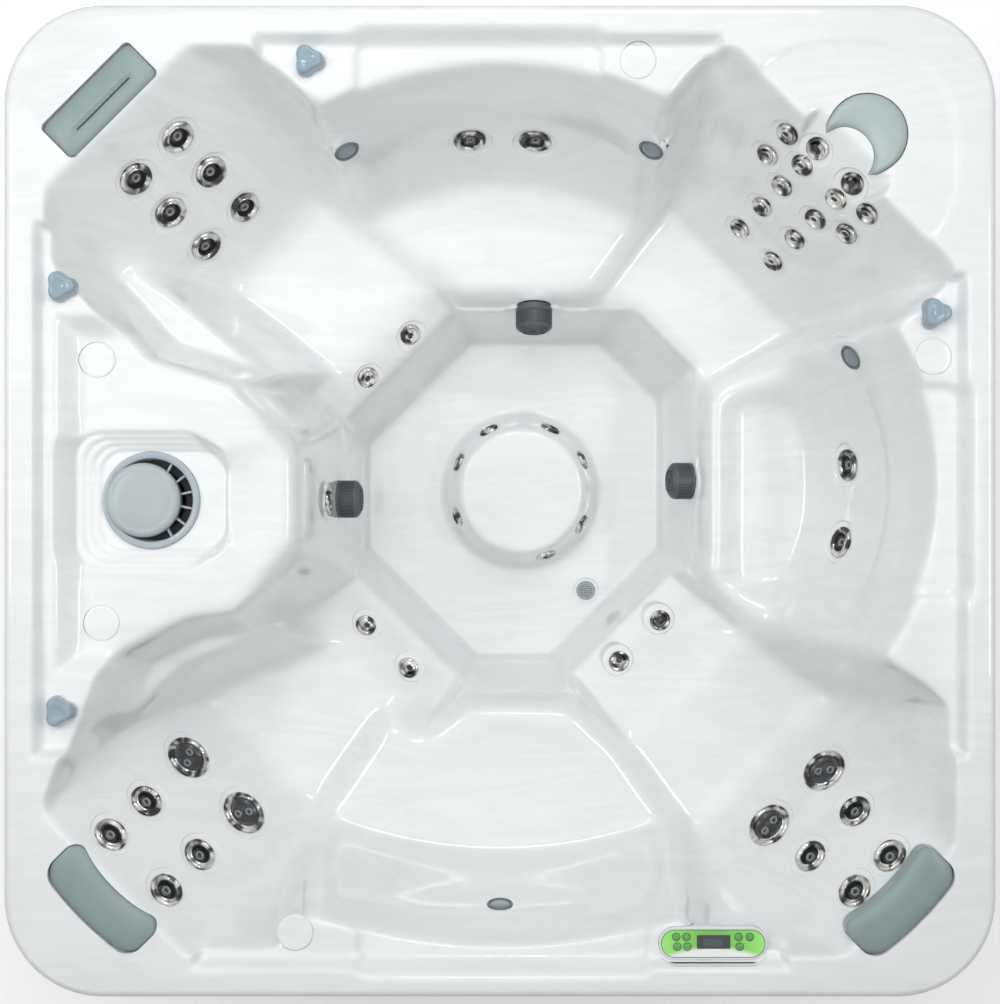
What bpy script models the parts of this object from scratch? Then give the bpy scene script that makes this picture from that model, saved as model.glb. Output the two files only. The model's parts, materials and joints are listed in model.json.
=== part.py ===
"""Acrylic hot tub, 84 inches square, with its cabinet, plumbing, pumps, filter and controls.

Metres, +Z up. The origin is at the middle of the base, +X is the right-hand side and +Y the far side.
The moulded shell is one height formula, surface(x, y), that every fitting in it takes its place from.
"""

import math

import bmesh
import bpy
import numpy as np
from mathutils import Matrix, Vector

# Driving dimensions: the shell's outline and levels
TUB_SIDE = 2.134
CORNER_RADIUS = 0.214
RIM_HEIGHT = 0.92
SHELL_WALL = 0.012
LIP_ROLL = 0.020
LIP_DROP = 0.070
SIDE_DECK_DROP = 0.035
SIDE_DECK_REACH = 1.003
FILTER_DECK_DROP = 0.090
FILTER_POCKET_DROP = 0.125
PILLOW_POCKET_DROP = 0.050
ARM_HEIGHT = 0.66
ARM_CREASE_HEIGHT = 0.62
BENCH_HEIGHT = 0.46
TOP_BENCH_HEIGHT = 0.44
SEAT_HEIGHT = 0.40
CLUSTER_SEAT_HEIGHT = 0.38
BOWL_HEIGHT = 0.40
FLOOR_HEIGHT = 0.10
FACET_HEIGHT = 0.29
DOME_RISE = 0.12
DOME_FOOT_RADIUS = 0.207
DOME_TOP_RADIUS = 0.161
DOME_CENTRE = (0.056, 0.027)
EDGE_SOFTNESS = 0.006
RIM_SOFTNESS = 0.004
SEAT_FRONT_LIMIT = 0.20
SEAT_REACH = 0.975
FACET_HALF_WIDTH = 0.21
FACET_RUN_OUT = 0.02
SHELL_GRID = 96
SHELL_KEEP = 0.068

# Clearances
GAP = 0.0003
TURN_GAP = 0.0004

# Cabinet and base
CABINET_INSET = 0.035
PANEL_THICKNESS = 0.020
PAN_THICKNESS = 0.020
POST_DEPTH = 0.040
RAIL_WIDTH = 0.032
RAIL_HEIGHT = 0.050
CORNER_STEPS = 5
LIP_CLEARANCE = 0.003

# Jets and fittings
MINI_RADIUS = 0.026
MEDIUM_RADIUS = 0.038
LARGE_RADIUS = 0.054
FACE_PROUD = 0.004
FACE_DEPTH = 0.012
NOZZLE_RADIUS = 0.013
LARGE_NOZZLE_RADIUS = 0.021
NOZZLE_DEPTH = 0.009
FACE_SHARE = 0.9
BOWL_SHARE = 0.72
SOCKET_DEPTH = 0.050
SOCKET_TAIL = 0.012
SOCKET_TAPER = 0.5
SOCKET_SIDES = 6
HEADER_DEPTH = 0.055
CROSS_PIPE_RADIUS = 0.013
HEADER_RADIUS = 0.018
RING_RADIUS = 0.025
RING_HEIGHT = 0.25
RING_INSET = 0.137
CORNER_INSET = 0.287
TURN_INSET = 0.567
PIPE_RUN_ON = 0.55
PIPE_SIDES = 5
PIPE_ROLL = 0.37
HEADER_SIDES = 7
RING_SIDES = 8
DOME_LINE_TURN = 0.62
PUMP_LINE_TURN = 0.55
HUB_HEIGHT = 0.060
HUB_RADIUS = 0.040
LIGHT_RADIUS = 0.030
LIGHT_DEPTH = 0.020
LIGHT_PROUD = 0.004
LENS_SHARE = 0.6
LENS_SIDES = 12
SMALL_SIDES = 8
SUCTION_RADIUS = 0.046
SUCTION_PROUD = 0.055
SUCTION_DEPTH = 0.030
SUCTION_CHAMFER = 0.008
SUCTION_FLANGE = 0.010
SUCTION_SIDES = 12
DRAIN_RADIUS = 0.025
DRAIN_DEPTH = 0.020
DRAIN_PROUD = 0.002
DRAIN_CENTRE = (0.231, -0.240)

# Valves and knobs
VALVE_RADIUS = 0.016
VALVE_PROUD = 0.003
KNOB_RADIUS = 0.0325
KNOB_HEIGHT = 0.030
KNOB_LOBE = 0.12
KNOB_TAPER = 0.8
KNOB_ROOM = 0.002
VALVE_LINE_RADIUS = 0.010
KNOB_SIDES = 18
VALVE_SIDES = 8

# Filter
CANISTER_CENTRE = (-0.775, 0.002)
CANISTER_RADIUS = 0.108
CANISTER_WALL = 0.006
CANISTER_BASE = 0.30
CANISTER_PROUD = 0.010
LEDGE_DEPTH = 0.040
LEDGE_RADIUS = 0.071
CARTRIDGE_RADIUS = 0.064
CARTRIDGE_BORE = 0.024
CARTRIDGE_LENGTH = 0.34
LID_RADIUS = 0.083
LID_SKIRT_RADIUS = 0.079
LID_CROWN = 0.016
LID_OFFSET = 0.0165
DOME_SHARE = 0.6
DOME_HEIGHT = 0.75
CAN_SIDES = 22
CARTRIDGE_SIDES = 16

# Topside control
PANEL_CENTRE = (0.461, -0.957)
PANEL_LENGTH = 0.236
PANEL_WIDTH = 0.071
PANEL_PROUD = 0.004
PANEL_DEPTH = 0.020
BUTTON_RADIUS = 0.0075
BUTTON_RISE = 0.0025
BUTTON_POCKET = 0.0050
BUTTON_TRAVEL = 0.0010
BUTTON_SIDES = 8
BUTTON_TAPER = 0.75
BUTTON_PLACES = (
    (-0.080, 0.0145), (-0.058, 0.0145), (-0.078, -0.0065), (-0.056, -0.0065),
    (0.055, 0.0145), (0.079, 0.0145), (0.057, -0.0065),
)

# Pillows
PILLOW_LENGTH = 0.256
PILLOW_DEPTH = 0.090
PILLOW_THICK = 0.044
PILLOW_CURVE = 0.045
CROWN_FALL = 0.45
END_FALL = 0.25
DRAW_IN = 0.06
CUSHION_CUTS = 2
CRESCENT_RADIUS = 0.087
CRESCENT_BITE = 0.069
POCKET_MARGIN = 0.018
POCKET_ROOM = 0.004
POCKET_CUT = 0.080
CRESCENT_SIDES = 24
CRESCENT_TAPER = 0.9
NICHE_EASE = 1.1
NICHE_START = 1.0

# Equipment bay
PUMP_RADIUS = 0.085
WET_END_RADIUS = 0.095
PUMP_LENGTH = 0.24
WET_END_LENGTH = 0.09
WET_END_OVERLAP = 0.01
PUMP_SIDES = 16
PUMP_SIDE = 0.24
PUMP_MIDDLE = -0.72
STUB_RADIUS = 0.028
PACK_SIZE = (0.11, 0.34, 0.20)
PACK_CENTRE = -0.915
STUB_REACH = 0.12
FOOT_WIDTH = 0.13
FOOT_LENGTH = 0.17
HEATER_RADIUS = 0.040
HEATER_LENGTH = 0.26

HALF = TUB_SIDE / 2
GRID_HALF = HALF - LIP_ROLL
GRID_CORNER = CORNER_RADIUS - LIP_ROLL
CABINET_HALF = HALF - CABINET_INSET
CABINET_CORNER = CORNER_RADIUS - CABINET_INSET
SIDE_DECK = RIM_HEIGHT - SIDE_DECK_DROP
FILTER_DECK = RIM_HEIGHT - FILTER_DECK_DROP
FILTER_POCKET = RIM_HEIGHT - FILTER_POCKET_DROP
PILLOW_POCKET = RIM_HEIGHT - PILLOW_POCKET_DROP
WALL_TOP = RIM_HEIGHT - 0.05
PANEL_TOP = RIM_HEIGHT - LIP_DROP - LIP_CLEARANCE
RING_REACH = HALF - RING_INSET
RING_CORNER = HALF - CORNER_INSET
RING_TURN = HALF - TURN_INSET
DIAGONAL = math.sqrt(0.5)

# The corner seats: outward direction, seat level, distance of the backrest's foot and top from the middle
SEATS = {
    "top_left": ((-DIAGONAL, DIAGONAL), SEAT_HEIGHT, 0.845, 1.165),
    "top_right": ((DIAGONAL, DIAGONAL), CLUSTER_SEAT_HEIGHT, 0.827, 1.050),
    "bottom_right": ((DIAGONAL, -DIAGONAL), SEAT_HEIGHT, 0.925, 1.215),
    "bottom_left": ((-DIAGONAL, -DIAGONAL), SEAT_HEIGHT, 0.864, 1.165),
}
# Jets on the backrests: distance out along the seat's diagonal, and to its left or right
MEDIUM_JETS = {
    "top_left": [
        (1.082, -0.066), (1.082, 0.066), (1.009, -0.066), (1.009, 0.066), (0.929, -0.066), (0.929, 0.066),
    ],
    "bottom_right": [(1.081, -0.073), (1.081, 0.073), (1.160, -0.055), (1.160, 0.055)],
    "bottom_left": [(1.050, -0.086), (1.050, 0.086), (1.120, -0.086), (1.120, 0.086)],
}
LARGE_JETS = {
    "bottom_right": [(1.003, -0.093), (1.003, 0.093)],
    "bottom_left": [(0.955, -0.093), (0.955, 0.093)],
}
CLUSTER_ROWS = [(1.036, 0.054), (1.000, 0.053), (0.962, 0.054), (0.922, 0.054), (0.876, 0.056)]
CLUSTER_OUTER_ROWS = [(1.015, 0.124), (0.978, 0.126)]
CALF_JETS = {
    "top_left": [(0.454, -0.015), (0.454, 0.137)],
    "bottom_left": [(0.460, -0.134), (0.460, 0.018)],
    "bottom_right": [(0.503, -0.074), (0.503, 0.074)],
}
DOME_JET_ANGLES = (27, 65, 118, 155, 202, 291, 331)
DOME_JET_RADIUS = 0.184
KNOBS = {
    "far_knob": (-0.413, 0.950),
    "right_knob": (0.939, 0.405),
    "left_far_knob": (-0.946, 0.463),
    "left_near_knob": (-0.950, -0.454),
}
PILLOW_DISTANCE = {"top_left": 1.215, "bottom_right": 1.217, "bottom_left": 1.210}
CRESCENT_DISTANCE = 1.115
CRESCENT_BITE_DISTANCE = 1.040


def soft_max(softness, *heights):
    """The highest of the heights, with the corner between them rounded."""
    top = np.maximum.reduce(heights)
    return top + softness * np.log(sum(np.exp((h - top) / softness) for h in heights))


def soft_min(softness, *heights):
    return -soft_max(softness, *[-h for h in heights])


def wall(x, y, first, second, level, slope, inside):
    """A sloping wall that crosses one level along a line in plan, and rises away from a point inside."""
    run = (second[0] - first[0], second[1] - first[1])
    length = math.hypot(*run)
    normal = (run[1] / length, -run[0] / length)
    side = (inside[0] - first[0]) * normal[0] + (inside[1] - first[1]) * normal[1]
    sign = -1.0 if side > 0 else 1.0
    out = sign * ((x - first[0]) * normal[0] + (y - first[1]) * normal[1])
    return level + slope * out


def arc_wall(x, y, centre, radius, level, slope):
    """A wall that curves round a centre, at one level's radius."""
    return level + slope * (np.hypot(x - centre[0], y - centre[1]) - radius)


def box_pool(x, y, low, high, floor, level, slope):
    """A rectangular sunken area with sloping sides."""
    outside = np.maximum.reduce([low[0] - x, x - high[0], low[1] - y, y - high[1]])
    return soft_max(EDGE_SOFTNESS, floor + 0 * x, level + slope * outside)


def backrest(x, y, name):
    outward, level, foot, top = SEATS[name]
    out = x * outward[0] + y * outward[1]
    return level + (out - foot) * (RIM_HEIGHT - level) / (top - foot)


def seat_front(x, y, name):
    """Ends a seat's bowl over the footwell, so that it stays on its own side of the tub."""
    outward = SEATS[name][0]
    return SEAT_HEIGHT + 3.0 * (SEAT_FRONT_LIMIT - x * outward[0] - y * outward[1])


def corner_limit(x, y):
    """Keeps a bowl inside the flat rim along the two straight sides next to its corner."""
    return RIM_HEIGHT + 4.0 * soft_max(0.02, np.abs(x) - SEAT_REACH, np.abs(y) - SEAT_REACH)


def far_arm_walls(x, y):
    """The edge of the filter deck over the far armrest."""
    return [
        wall(x, y, (-0.773, 0.317), (-0.447, 0.216), FILTER_DECK, 4.0, (-0.6, 0.5)),
        wall(x, y, (-0.905, 0.465), (-0.773, 0.317), FILTER_DECK, 4.0, (-0.6, 0.5)),
    ]


def near_arm_walls(x, y):
    """The edge of the filter deck over the near armrest."""
    return [
        wall(x, y, (-0.692, -0.262), (-0.423, -0.234), FILTER_DECK, 4.0, (-0.6, -0.5)),
        wall(x, y, (-0.857, -0.348), (-0.692, -0.262), FILTER_DECK, 4.0, (-0.6, -0.5)),
        wall(x, y, (-0.958, -0.629), (-0.857, -0.348), WALL_TOP, 4.0, (-0.6, -0.5)),
    ]


def seat_bowls(x, y):
    """The four corner seats, each a floor between a backrest and two side walls."""
    flat = 0 * x
    top_left = soft_max(
        EDGE_SOFTNESS * 3, SEAT_HEIGHT + flat,
        backrest(x, y, "top_left"), seat_front(x, y, "top_left"),
        wall(x, y, (-0.446, 0.796), (-0.234, 0.604), TOP_BENCH_HEIGHT, 7.0, (-0.5, 0.5)),
        wall(x, y, (-0.759, 0.490), (-0.447, 0.216), ARM_CREASE_HEIGHT, 3.0, (-0.5, 0.5)),
        wall(x, y, (-0.917, 0.613), (-0.759, 0.490), ARM_CREASE_HEIGHT, 3.0, (-0.5, 0.5)),
        corner_limit(x, y), *far_arm_walls(x, y),
    )
    top_right = soft_max(
        EDGE_SOFTNESS * 3, CLUSTER_SEAT_HEIGHT + flat,
        backrest(x, y, "top_right"), seat_front(x, y, "top_right"),
        wall(x, y, (0.436, 0.796), (0.270, 0.570), TOP_BENCH_HEIGHT, 5.0, (0.55, 0.55)),
        wall(x, y, (0.820, 0.440), (0.600, 0.320), TOP_BENCH_HEIGHT, 10.0, (0.55, 0.55)),
        corner_limit(x, y),
    )
    bottom_right = soft_max(
        EDGE_SOFTNESS * 3, SEAT_HEIGHT + flat,
        backrest(x, y, "bottom_right"), seat_front(x, y, "bottom_right"),
        wall(x, y, (0.628, -0.310), (0.830, -0.440), BENCH_HEIGHT, 6.0, (0.6, -0.6)),
        wall(x, y, (0.298, -0.616), (0.500, -0.900), BENCH_HEIGHT, 6.0, (0.6, -0.6)),
        corner_limit(x, y),
    )
    bottom_left = soft_max(
        EDGE_SOFTNESS * 3, SEAT_HEIGHT + flat,
        backrest(x, y, "bottom_left"), seat_front(x, y, "bottom_left"),
        wall(x, y, (-0.271, -0.525), (-0.500, -0.855), BENCH_HEIGHT, 6.0, (-0.6, -0.6)),
        wall(x, y, (-0.740, -0.398), (-0.4525, -0.283), ARM_CREASE_HEIGHT, 3.0, (-0.6, -0.6)),
        wall(x, y, (-0.900, -0.560), (-0.740, -0.398), ARM_CREASE_HEIGHT, 3.0, (-0.6, -0.6)),
        corner_limit(x, y), *near_arm_walls(x, y),
    )
    return top_left, top_right, bottom_right, bottom_left


def arm_shelves(x, y):
    """The armrests between the filter deck and the two left-hand seats."""
    flat = 0 * x
    far = soft_max(
        EDGE_SOFTNESS, ARM_HEIGHT + flat, backrest(x, y, "top_left"), seat_front(x, y, "top_left"),
        corner_limit(x, y), *far_arm_walls(x, y),
        wall(x, y, (-0.446, 0.796), (-0.234, 0.604), TOP_BENCH_HEIGHT, 7.0, (-0.5, 0.5)),
    )
    near = soft_max(
        EDGE_SOFTNESS, ARM_HEIGHT + flat, backrest(x, y, "bottom_left"), seat_front(x, y, "bottom_left"),
        corner_limit(x, y), *near_arm_walls(x, y),
        wall(x, y, (-0.271, -0.525), (-0.500, -0.855), BENCH_HEIGHT, 6.0, (-0.6, -0.6)),
    )
    return far, near


def benches(x, y):
    """The three benches between the corner seats, and the bucket sunk into the right-hand one."""
    flat = 0 * x
    far = soft_max(
        EDGE_SOFTNESS * 2, TOP_BENCH_HEIGHT + flat,
        arc_wall(x, y, (0.0, 0.14), 0.652, TOP_BENCH_HEIGHT, 2.72),
        wall(x, y, (-0.446, 0.796), (-0.234, 0.604), TOP_BENCH_HEIGHT, 3.0, (0.0, 0.6)),
        wall(x, y, (0.436, 0.796), (0.270, 0.570), TOP_BENCH_HEIGHT, 3.0, (0.0, 0.6)),
    )
    right = soft_max(
        EDGE_SOFTNESS * 2, BENCH_HEIGHT + flat,
        arc_wall(x, y, (0.31, 0.04), 0.491, BENCH_HEIGHT, 2.82),
        wall(x, y, (0.820, 0.440), (0.600, 0.320), BENCH_HEIGHT, 3.0, (0.6, 0.0)),
        wall(x, y, (0.628, -0.310), (0.830, -0.440), BENCH_HEIGHT, 3.0, (0.6, 0.0)),
    )
    bucket = soft_max(
        EDGE_SOFTNESS, box_pool(x, y, (0.545, -0.240), (0.800, 0.275), BOWL_HEIGHT, BENCH_HEIGHT, 2.5),
        arc_wall(x, y, (0.31, 0.04), 0.491, BENCH_HEIGHT, 2.82),
    )
    near = soft_max(
        EDGE_SOFTNESS * 2, BENCH_HEIGHT + flat,
        arc_wall(x, y, (0.0, 0.251), 1.131, BENCH_HEIGHT, 5.6),
        wall(x, y, (-0.271, -0.525), (-0.500, -0.855), BENCH_HEIGHT, 3.0, (0.0, -0.7)),
        wall(x, y, (0.298, -0.616), (0.500, -0.900), BENCH_HEIGHT, 3.0, (0.0, -0.7)),
    )
    return far, right, bucket, near


def calf_facet(x, y, outward, edge, slope, centre_offset):
    """The slope in front of a corner seat that the calf jets are set in."""
    out = x * outward[0] + y * outward[1]
    across = x * outward[1] - y * outward[0] - centre_offset
    return soft_max(
        EDGE_SOFTNESS, FACET_HEIGHT + 0 * x, SEAT_HEIGHT + slope * (out - edge),
        SEAT_HEIGHT + 5.0 * (np.abs(across) - FACET_HALF_WIDTH),
        SEAT_HEIGHT + 3.0 * (SEAT_FRONT_LIMIT - out),
        SEAT_HEIGHT + 5.0 * (out - edge - FACET_RUN_OUT),
    )


def footwell(x, y):
    """The eight-sided well for the feet."""
    diagonals = (
        ((-DIAGONAL, DIAGONAL), 0.363, 4.3), ((DIAGONAL, DIAGONAL), 0.495, 3.1),
        ((DIAGONAL, -DIAGONAL), 0.396, 5.0), ((-DIAGONAL, -DIAGONAL), 0.344, 4.9),
    )
    sides = (((1, 0), 0.431, 4.9), ((-1, 0), 0.363, 11.0), ((0, 1), 0.433, 6.0), ((0, -1), 0.420, 5.1))
    walls = [
        FLOOR_HEIGHT + slope * (x * out[0] + y * out[1] - reach) for out, reach, slope in diagonals + sides
    ]
    return soft_max(EDGE_SOFTNESS, FLOOR_HEIGHT + 0 * x, *walls)


def side_decks(x, y):
    """The shallow decks along the four sides, below the rim, that carry the knobs and the control panel."""
    reach = SIDE_DECK_REACH
    return [
        box_pool(x, y, low, high, SIDE_DECK, RIM_HEIGHT, 2.5)
        for low, high in (
            ((-0.53, 0.5), (0.48, reach)), ((0.5, -0.55), (reach, 0.49)),
            ((-0.66, -reach), (0.62, -0.5)), ((-reach, -0.55), (-0.5, 0.60)),
        )
    ]


def pillow_pockets(x, y):
    """The recesses at the heads of the corner seats that the pillows lie in."""
    pockets = []
    for name, distance in PILLOW_DISTANCE.items():
        outward = SEATS[name][0]
        out = x * outward[0] + y * outward[1] - distance
        across = np.abs(x * outward[1] - y * outward[0])
        outside = np.maximum(out - PILLOW_DEPTH / 2 - PILLOW_CURVE / 4, across - PILLOW_LENGTH / 2)
        inside = np.maximum(outside - POCKET_MARGIN, -out - PILLOW_DEPTH)
        pockets.append(soft_max(RIM_SOFTNESS, PILLOW_POCKET + 0 * x, RIM_HEIGHT + 5.0 * inside))
    outward = SEATS["top_right"][0]
    away = np.hypot(x - CRESCENT_DISTANCE * outward[0], y - CRESCENT_DISTANCE * outward[1])
    bitten = np.hypot(x - CRESCENT_BITE_DISTANCE * outward[0], y - CRESCENT_BITE_DISTANCE * outward[1])
    inside = np.maximum(away - CRESCENT_RADIUS - POCKET_MARGIN, CRESCENT_BITE - POCKET_MARGIN - bitten)
    round_pocket = RIM_HEIGHT + 5.0 * inside
    pockets.append(soft_max(RIM_SOFTNESS, PILLOW_POCKET + 0 * x, round_pocket))
    out = x * outward[0] + y * outward[1]
    niche_back = backrest(x, y, "top_right") - NICHE_EASE * np.maximum(out - NICHE_START, 0)
    niche_side = RIM_HEIGHT + 4.0 * (bitten - CRESCENT_BITE - POCKET_MARGIN / 2)
    pockets.append(soft_max(RIM_SOFTNESS, niche_back, niche_side))
    return pockets


def surface(x, y):
    """Height of the shell's upper face over any point of the plan."""
    x, y = np.asarray(x, float), np.asarray(y, float)
    deck_area = box_pool(x, y, (-0.945, -0.40), (0.0, 0.43), FILTER_DECK, RIM_HEIGHT, 1.3)
    pocket_area = box_pool(x, y, (-0.905, -0.135), (-0.62, 0.140), FILTER_POCKET, FILTER_DECK, 1.5)
    facets = [
        calf_facet(x, y, SEATS["top_left"][0], 0.500, 0.8, 0.06),
        calf_facet(x, y, SEATS["bottom_left"][0], 0.532, 0.8, -0.06),
        calf_facet(x, y, SEATS["bottom_right"][0], 0.653, 0.65, 0.0),
    ]
    carved = [
        RIM_HEIGHT + 0 * x, deck_area, pocket_area, *side_decks(x, y), *pillow_pockets(x, y),
        *arm_shelves(x, y), *seat_bowls(x, y), *benches(x, y), *facets, footwell(x, y),
    ]
    height = soft_min(RIM_SOFTNESS, *carved)
    height = np.minimum(height, RIM_HEIGHT)
    away = np.hypot(x - DOME_CENTRE[0], y - DOME_CENTRE[1])
    share = np.clip((DOME_FOOT_RADIUS - away) / (DOME_FOOT_RADIUS - DOME_TOP_RADIUS), 0, 1)
    dome = FLOOR_HEIGHT + DOME_RISE * share * share * (3 - 2 * share)
    return np.where(away < DOME_FOOT_RADIUS, np.maximum(height, dome), height)


def underside(x, y):
    """Height of the shell's lower face, one wall thickness behind the upper face in every direction."""
    low = surface(x, y) - SHELL_WALL
    for share in (0.6, 1.0):
        reach = SHELL_WALL * share
        drop = math.sqrt(SHELL_WALL ** 2 - reach ** 2)
        for step in range(12):
            angle = math.tau * step / 12
            low = np.minimum(low, surface(x + reach * math.cos(angle), y + reach * math.sin(angle)) - drop)
    return low


def surface_frame(x, y):
    """A matrix at a point of the shell, with Z along the outward normal."""
    step = 0.003
    slope_x = (surface(x + step, y) - surface(x - step, y)) / (2 * step)
    slope_y = (surface(x, y + step) - surface(x, y - step)) / (2 * step)
    normal = Vector((-float(slope_x), -float(slope_y), 1.0)).normalized()
    turn = normal.to_track_quat("Z", "Y").to_matrix().to_4x4()
    return Matrix.Translation((x, y, float(surface(x, y)))) @ turn


def wall_frame(origin, direction, level):
    """A matrix where a line in plan, going out from a point, meets the shell at one level."""
    near, far = 0.0, 1.2
    for _ in range(50):
        middle = (near + far) / 2
        height = surface(origin[0] + direction[0] * middle, origin[1] + direction[1] * middle)
        if height < level:
            near = middle
        else:
            far = middle
    return surface_frame(origin[0] + direction[0] * near, origin[1] + direction[1] * near)


def seat_point(name, out, across):
    """A point of the plan, from its distance along a seat's diagonal and its offset to the right of it."""
    outward = SEATS[name][0]
    return out * outward[0] + across * outward[1], out * outward[1] - across * outward[0]


def add_material(name, colour, roughness, metallic=0.0):
    material = bpy.data.materials.new(name)
    material.use_nodes = True
    shader = material.node_tree.nodes["Principled BSDF"]
    shader.inputs["Base Color"].default_value = (*colour, 1)
    shader.inputs["Roughness"].default_value = roughness
    shader.inputs["Metallic"].default_value = metallic
    return material


def add_object(name, mesh, material, matrix=None, group=None):
    thing = bpy.data.objects.new(name, mesh)
    (group or PARTS).objects.link(thing)
    if material:
        mesh.materials.append(material)
    if matrix is not None:
        thing.matrix_world = matrix
    return thing


def mesh_of(name, shape, smooth_angle=40):
    """Turns a bmesh into a mesh with flat caps and smooth sides."""
    bmesh.ops.recalc_face_normals(shape, faces=shape.faces)
    mesh = bpy.data.meshes.new(name)
    shape.to_mesh(mesh)
    shape.free()
    mesh.shade_smooth()
    mesh.set_sharp_from_angle(angle=math.radians(smooth_angle))
    return mesh


def cylinder(radius, low, high, sides, top_radius=None):
    """A bmesh cylinder or cone along Z between two heights."""
    shape = bmesh.new()
    bmesh.ops.create_cone(
        shape, cap_ends=True, segments=sides, radius1=radius,
        radius2=radius if top_radius is None else top_radius, depth=high - low,
    )
    bmesh.ops.translate(shape, verts=shape.verts, vec=(0, 0, (low + high) / 2))
    return shape


def turned(name, profile, sides):
    """A mesh turned about Z from (radius, height) points that run from the top, down the outside."""
    shape = bmesh.new()
    points = [shape.verts.new((r, 0, z)) for r, z in profile]
    pairs = zip(points, points[1:] + points[:1])
    edges = [shape.edges.new(pair) for pair in pairs if pair[0].co.x or pair[1].co.x]
    bmesh.ops.spin(
        shape, geom=points + edges, cent=(0, 0, 0), axis=(0, 0, 1), angle=math.tau,
        steps=sides, use_merge=True,
    )
    bmesh.ops.remove_doubles(shape, verts=shape.verts, dist=1e-6)
    return mesh_of(name, shape)


def box(size, centre):
    shape = bmesh.new()
    bmesh.ops.create_cube(shape, size=1)
    bmesh.ops.scale(shape, verts=shape.verts, vec=size)
    bmesh.ops.translate(shape, verts=shape.verts, vec=centre)
    return shape


def pipe(name, first, second, radius, sides, roll=0.0):
    """A straight pipe between two points, as a mesh and the matrix that places it."""
    run = Vector(second) - Vector(first)
    mesh = mesh_of(name, cylinder(radius, 0, run.length, sides))
    turn = run.to_track_quat("Z", "Y").to_matrix().to_4x4() @ Matrix.Rotation(roll, 4, "Z")
    return mesh, Matrix.Translation(first) @ turn


def around(radius, clearance, sides):
    """Corner radius of a many-sided hole that clears a round piece turning inside it."""
    return (radius + clearance) / math.cos(math.pi / sides)


def cut(thing, group):
    modifier = thing.modifiers.new("cuts", "BOOLEAN")
    modifier.operation = "DIFFERENCE"
    modifier.operand_type = "COLLECTION"
    modifier.collection = group
    return modifier


def add_group(name):
    group = bpy.data.collections.new(name)
    bpy.context.scene.collection.children.link(group)
    return group


def add_cutter(group, name, shape, matrix):
    cutter = add_object(name, mesh_of(name, shape), None, matrix, group)
    cutter.hide_render = True
    cutter.display_type = "WIRE"
    return cutter


def union_of(name, pieces, material):
    """One solid from overlapping pieces, each a mesh and its matrix."""
    mesh, matrix = pieces[0]
    base = add_object(name, mesh, material, matrix)
    group = add_group(name + "_pieces")
    for index, (other, place) in enumerate(pieces[1:]):
        piece = add_object(f"{name}_piece_{index}", other, None, place, group)
        piece.hide_render = True
        piece.display_type = "WIRE"
    modifier = base.modifiers.new("join", "BOOLEAN")
    modifier.operation = "UNION"
    modifier.operand_type = "COLLECTION"
    modifier.collection = group
    return base


def rounded_square(half, radius, steps=CORNER_STEPS):
    """Points round a square with rounded corners."""
    points = []
    for quarter in range(4):
        turn = math.pi / 2 * quarter
        middle = half - radius
        centre = (
            middle * (math.cos(turn) - math.sin(turn)), middle * (math.sin(turn) + math.cos(turn)),
        )
        for step in range(steps + 1):
            angle = turn + math.pi / 2 * step / steps
            points.append((centre[0] + radius * math.cos(angle), centre[1] + radius * math.sin(angle)))
    return points


def prism(name, outlines, low, high):
    """A mesh standing on one or two outlines, the second of which is a hole."""
    curve = bpy.data.curves.new(name, "CURVE")
    curve.dimensions = "2D"
    curve.fill_mode = "BOTH"
    curve.extrude = (high - low) / 2
    for outline in outlines:
        spline = curve.splines.new("POLY")
        spline.points.add(len(outline) - 1)
        for point, place in zip(spline.points, outline):
            point.co = (place[0], place[1], 0, 1)
        spline.use_cyclic_u = True
    holder = bpy.data.objects.new(name, curve)
    PARTS.objects.link(holder)
    bpy.context.view_layer.update()
    mesh = bpy.data.meshes.new_from_object(holder.evaluated_get(bpy.context.evaluated_depsgraph_get()))
    bpy.data.objects.remove(holder)
    bpy.data.curves.remove(curve)
    shape = bmesh.new()
    shape.from_mesh(mesh)
    bpy.data.meshes.remove(mesh)
    bmesh.ops.remove_doubles(shape, verts=shape.verts, dist=1e-5)
    bmesh.ops.translate(shape, verts=shape.verts, vec=(0, 0, (low + high) / 2))
    return mesh_of(name, shape)


def grid_to_plan(u, v):
    """Maps a square grid onto the rounded square inside the rim's rolled edge."""
    middle = GRID_HALF - GRID_CORNER
    x, y = u * GRID_HALF, v * GRID_HALF
    s = np.clip((abs(x) - middle) / GRID_CORNER, 0, 1)
    t = np.clip((abs(y) - middle) / GRID_CORNER, 0, 1)
    corner = (s > 0) & (t > 0)
    round_x = middle + GRID_CORNER * s * np.sqrt(1 - t * t / 2)
    round_y = middle + GRID_CORNER * t * np.sqrt(1 - s * s / 2)
    return np.where(corner, np.sign(x) * round_x, x), np.where(corner, np.sign(y) * round_y, y)


def outline_normal(place):
    """Direction straight out of the rounded outline at a point on it."""
    middle = GRID_HALF - GRID_CORNER
    core = Vector((max(-middle, min(middle, place.x)), max(-middle, min(middle, place.y)), 0))
    return (Vector((place.x, place.y, 0)) - core).normalized()


def shell_sheet(shape, heights):
    """Adds one face of the shell to a bmesh, as a grid, and returns its vertices."""
    made = bmesh.ops.create_grid(shape, x_segments=SHELL_GRID, y_segments=SHELL_GRID, size=1)["verts"]
    u = np.array([v.co.x for v in made])
    v = np.array([v.co.y for v in made])
    x, y = grid_to_plan(u, v)
    for vertex, place in zip(made, zip(x, y, heights(x, y))):
        vertex.co = place
    return made


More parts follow.
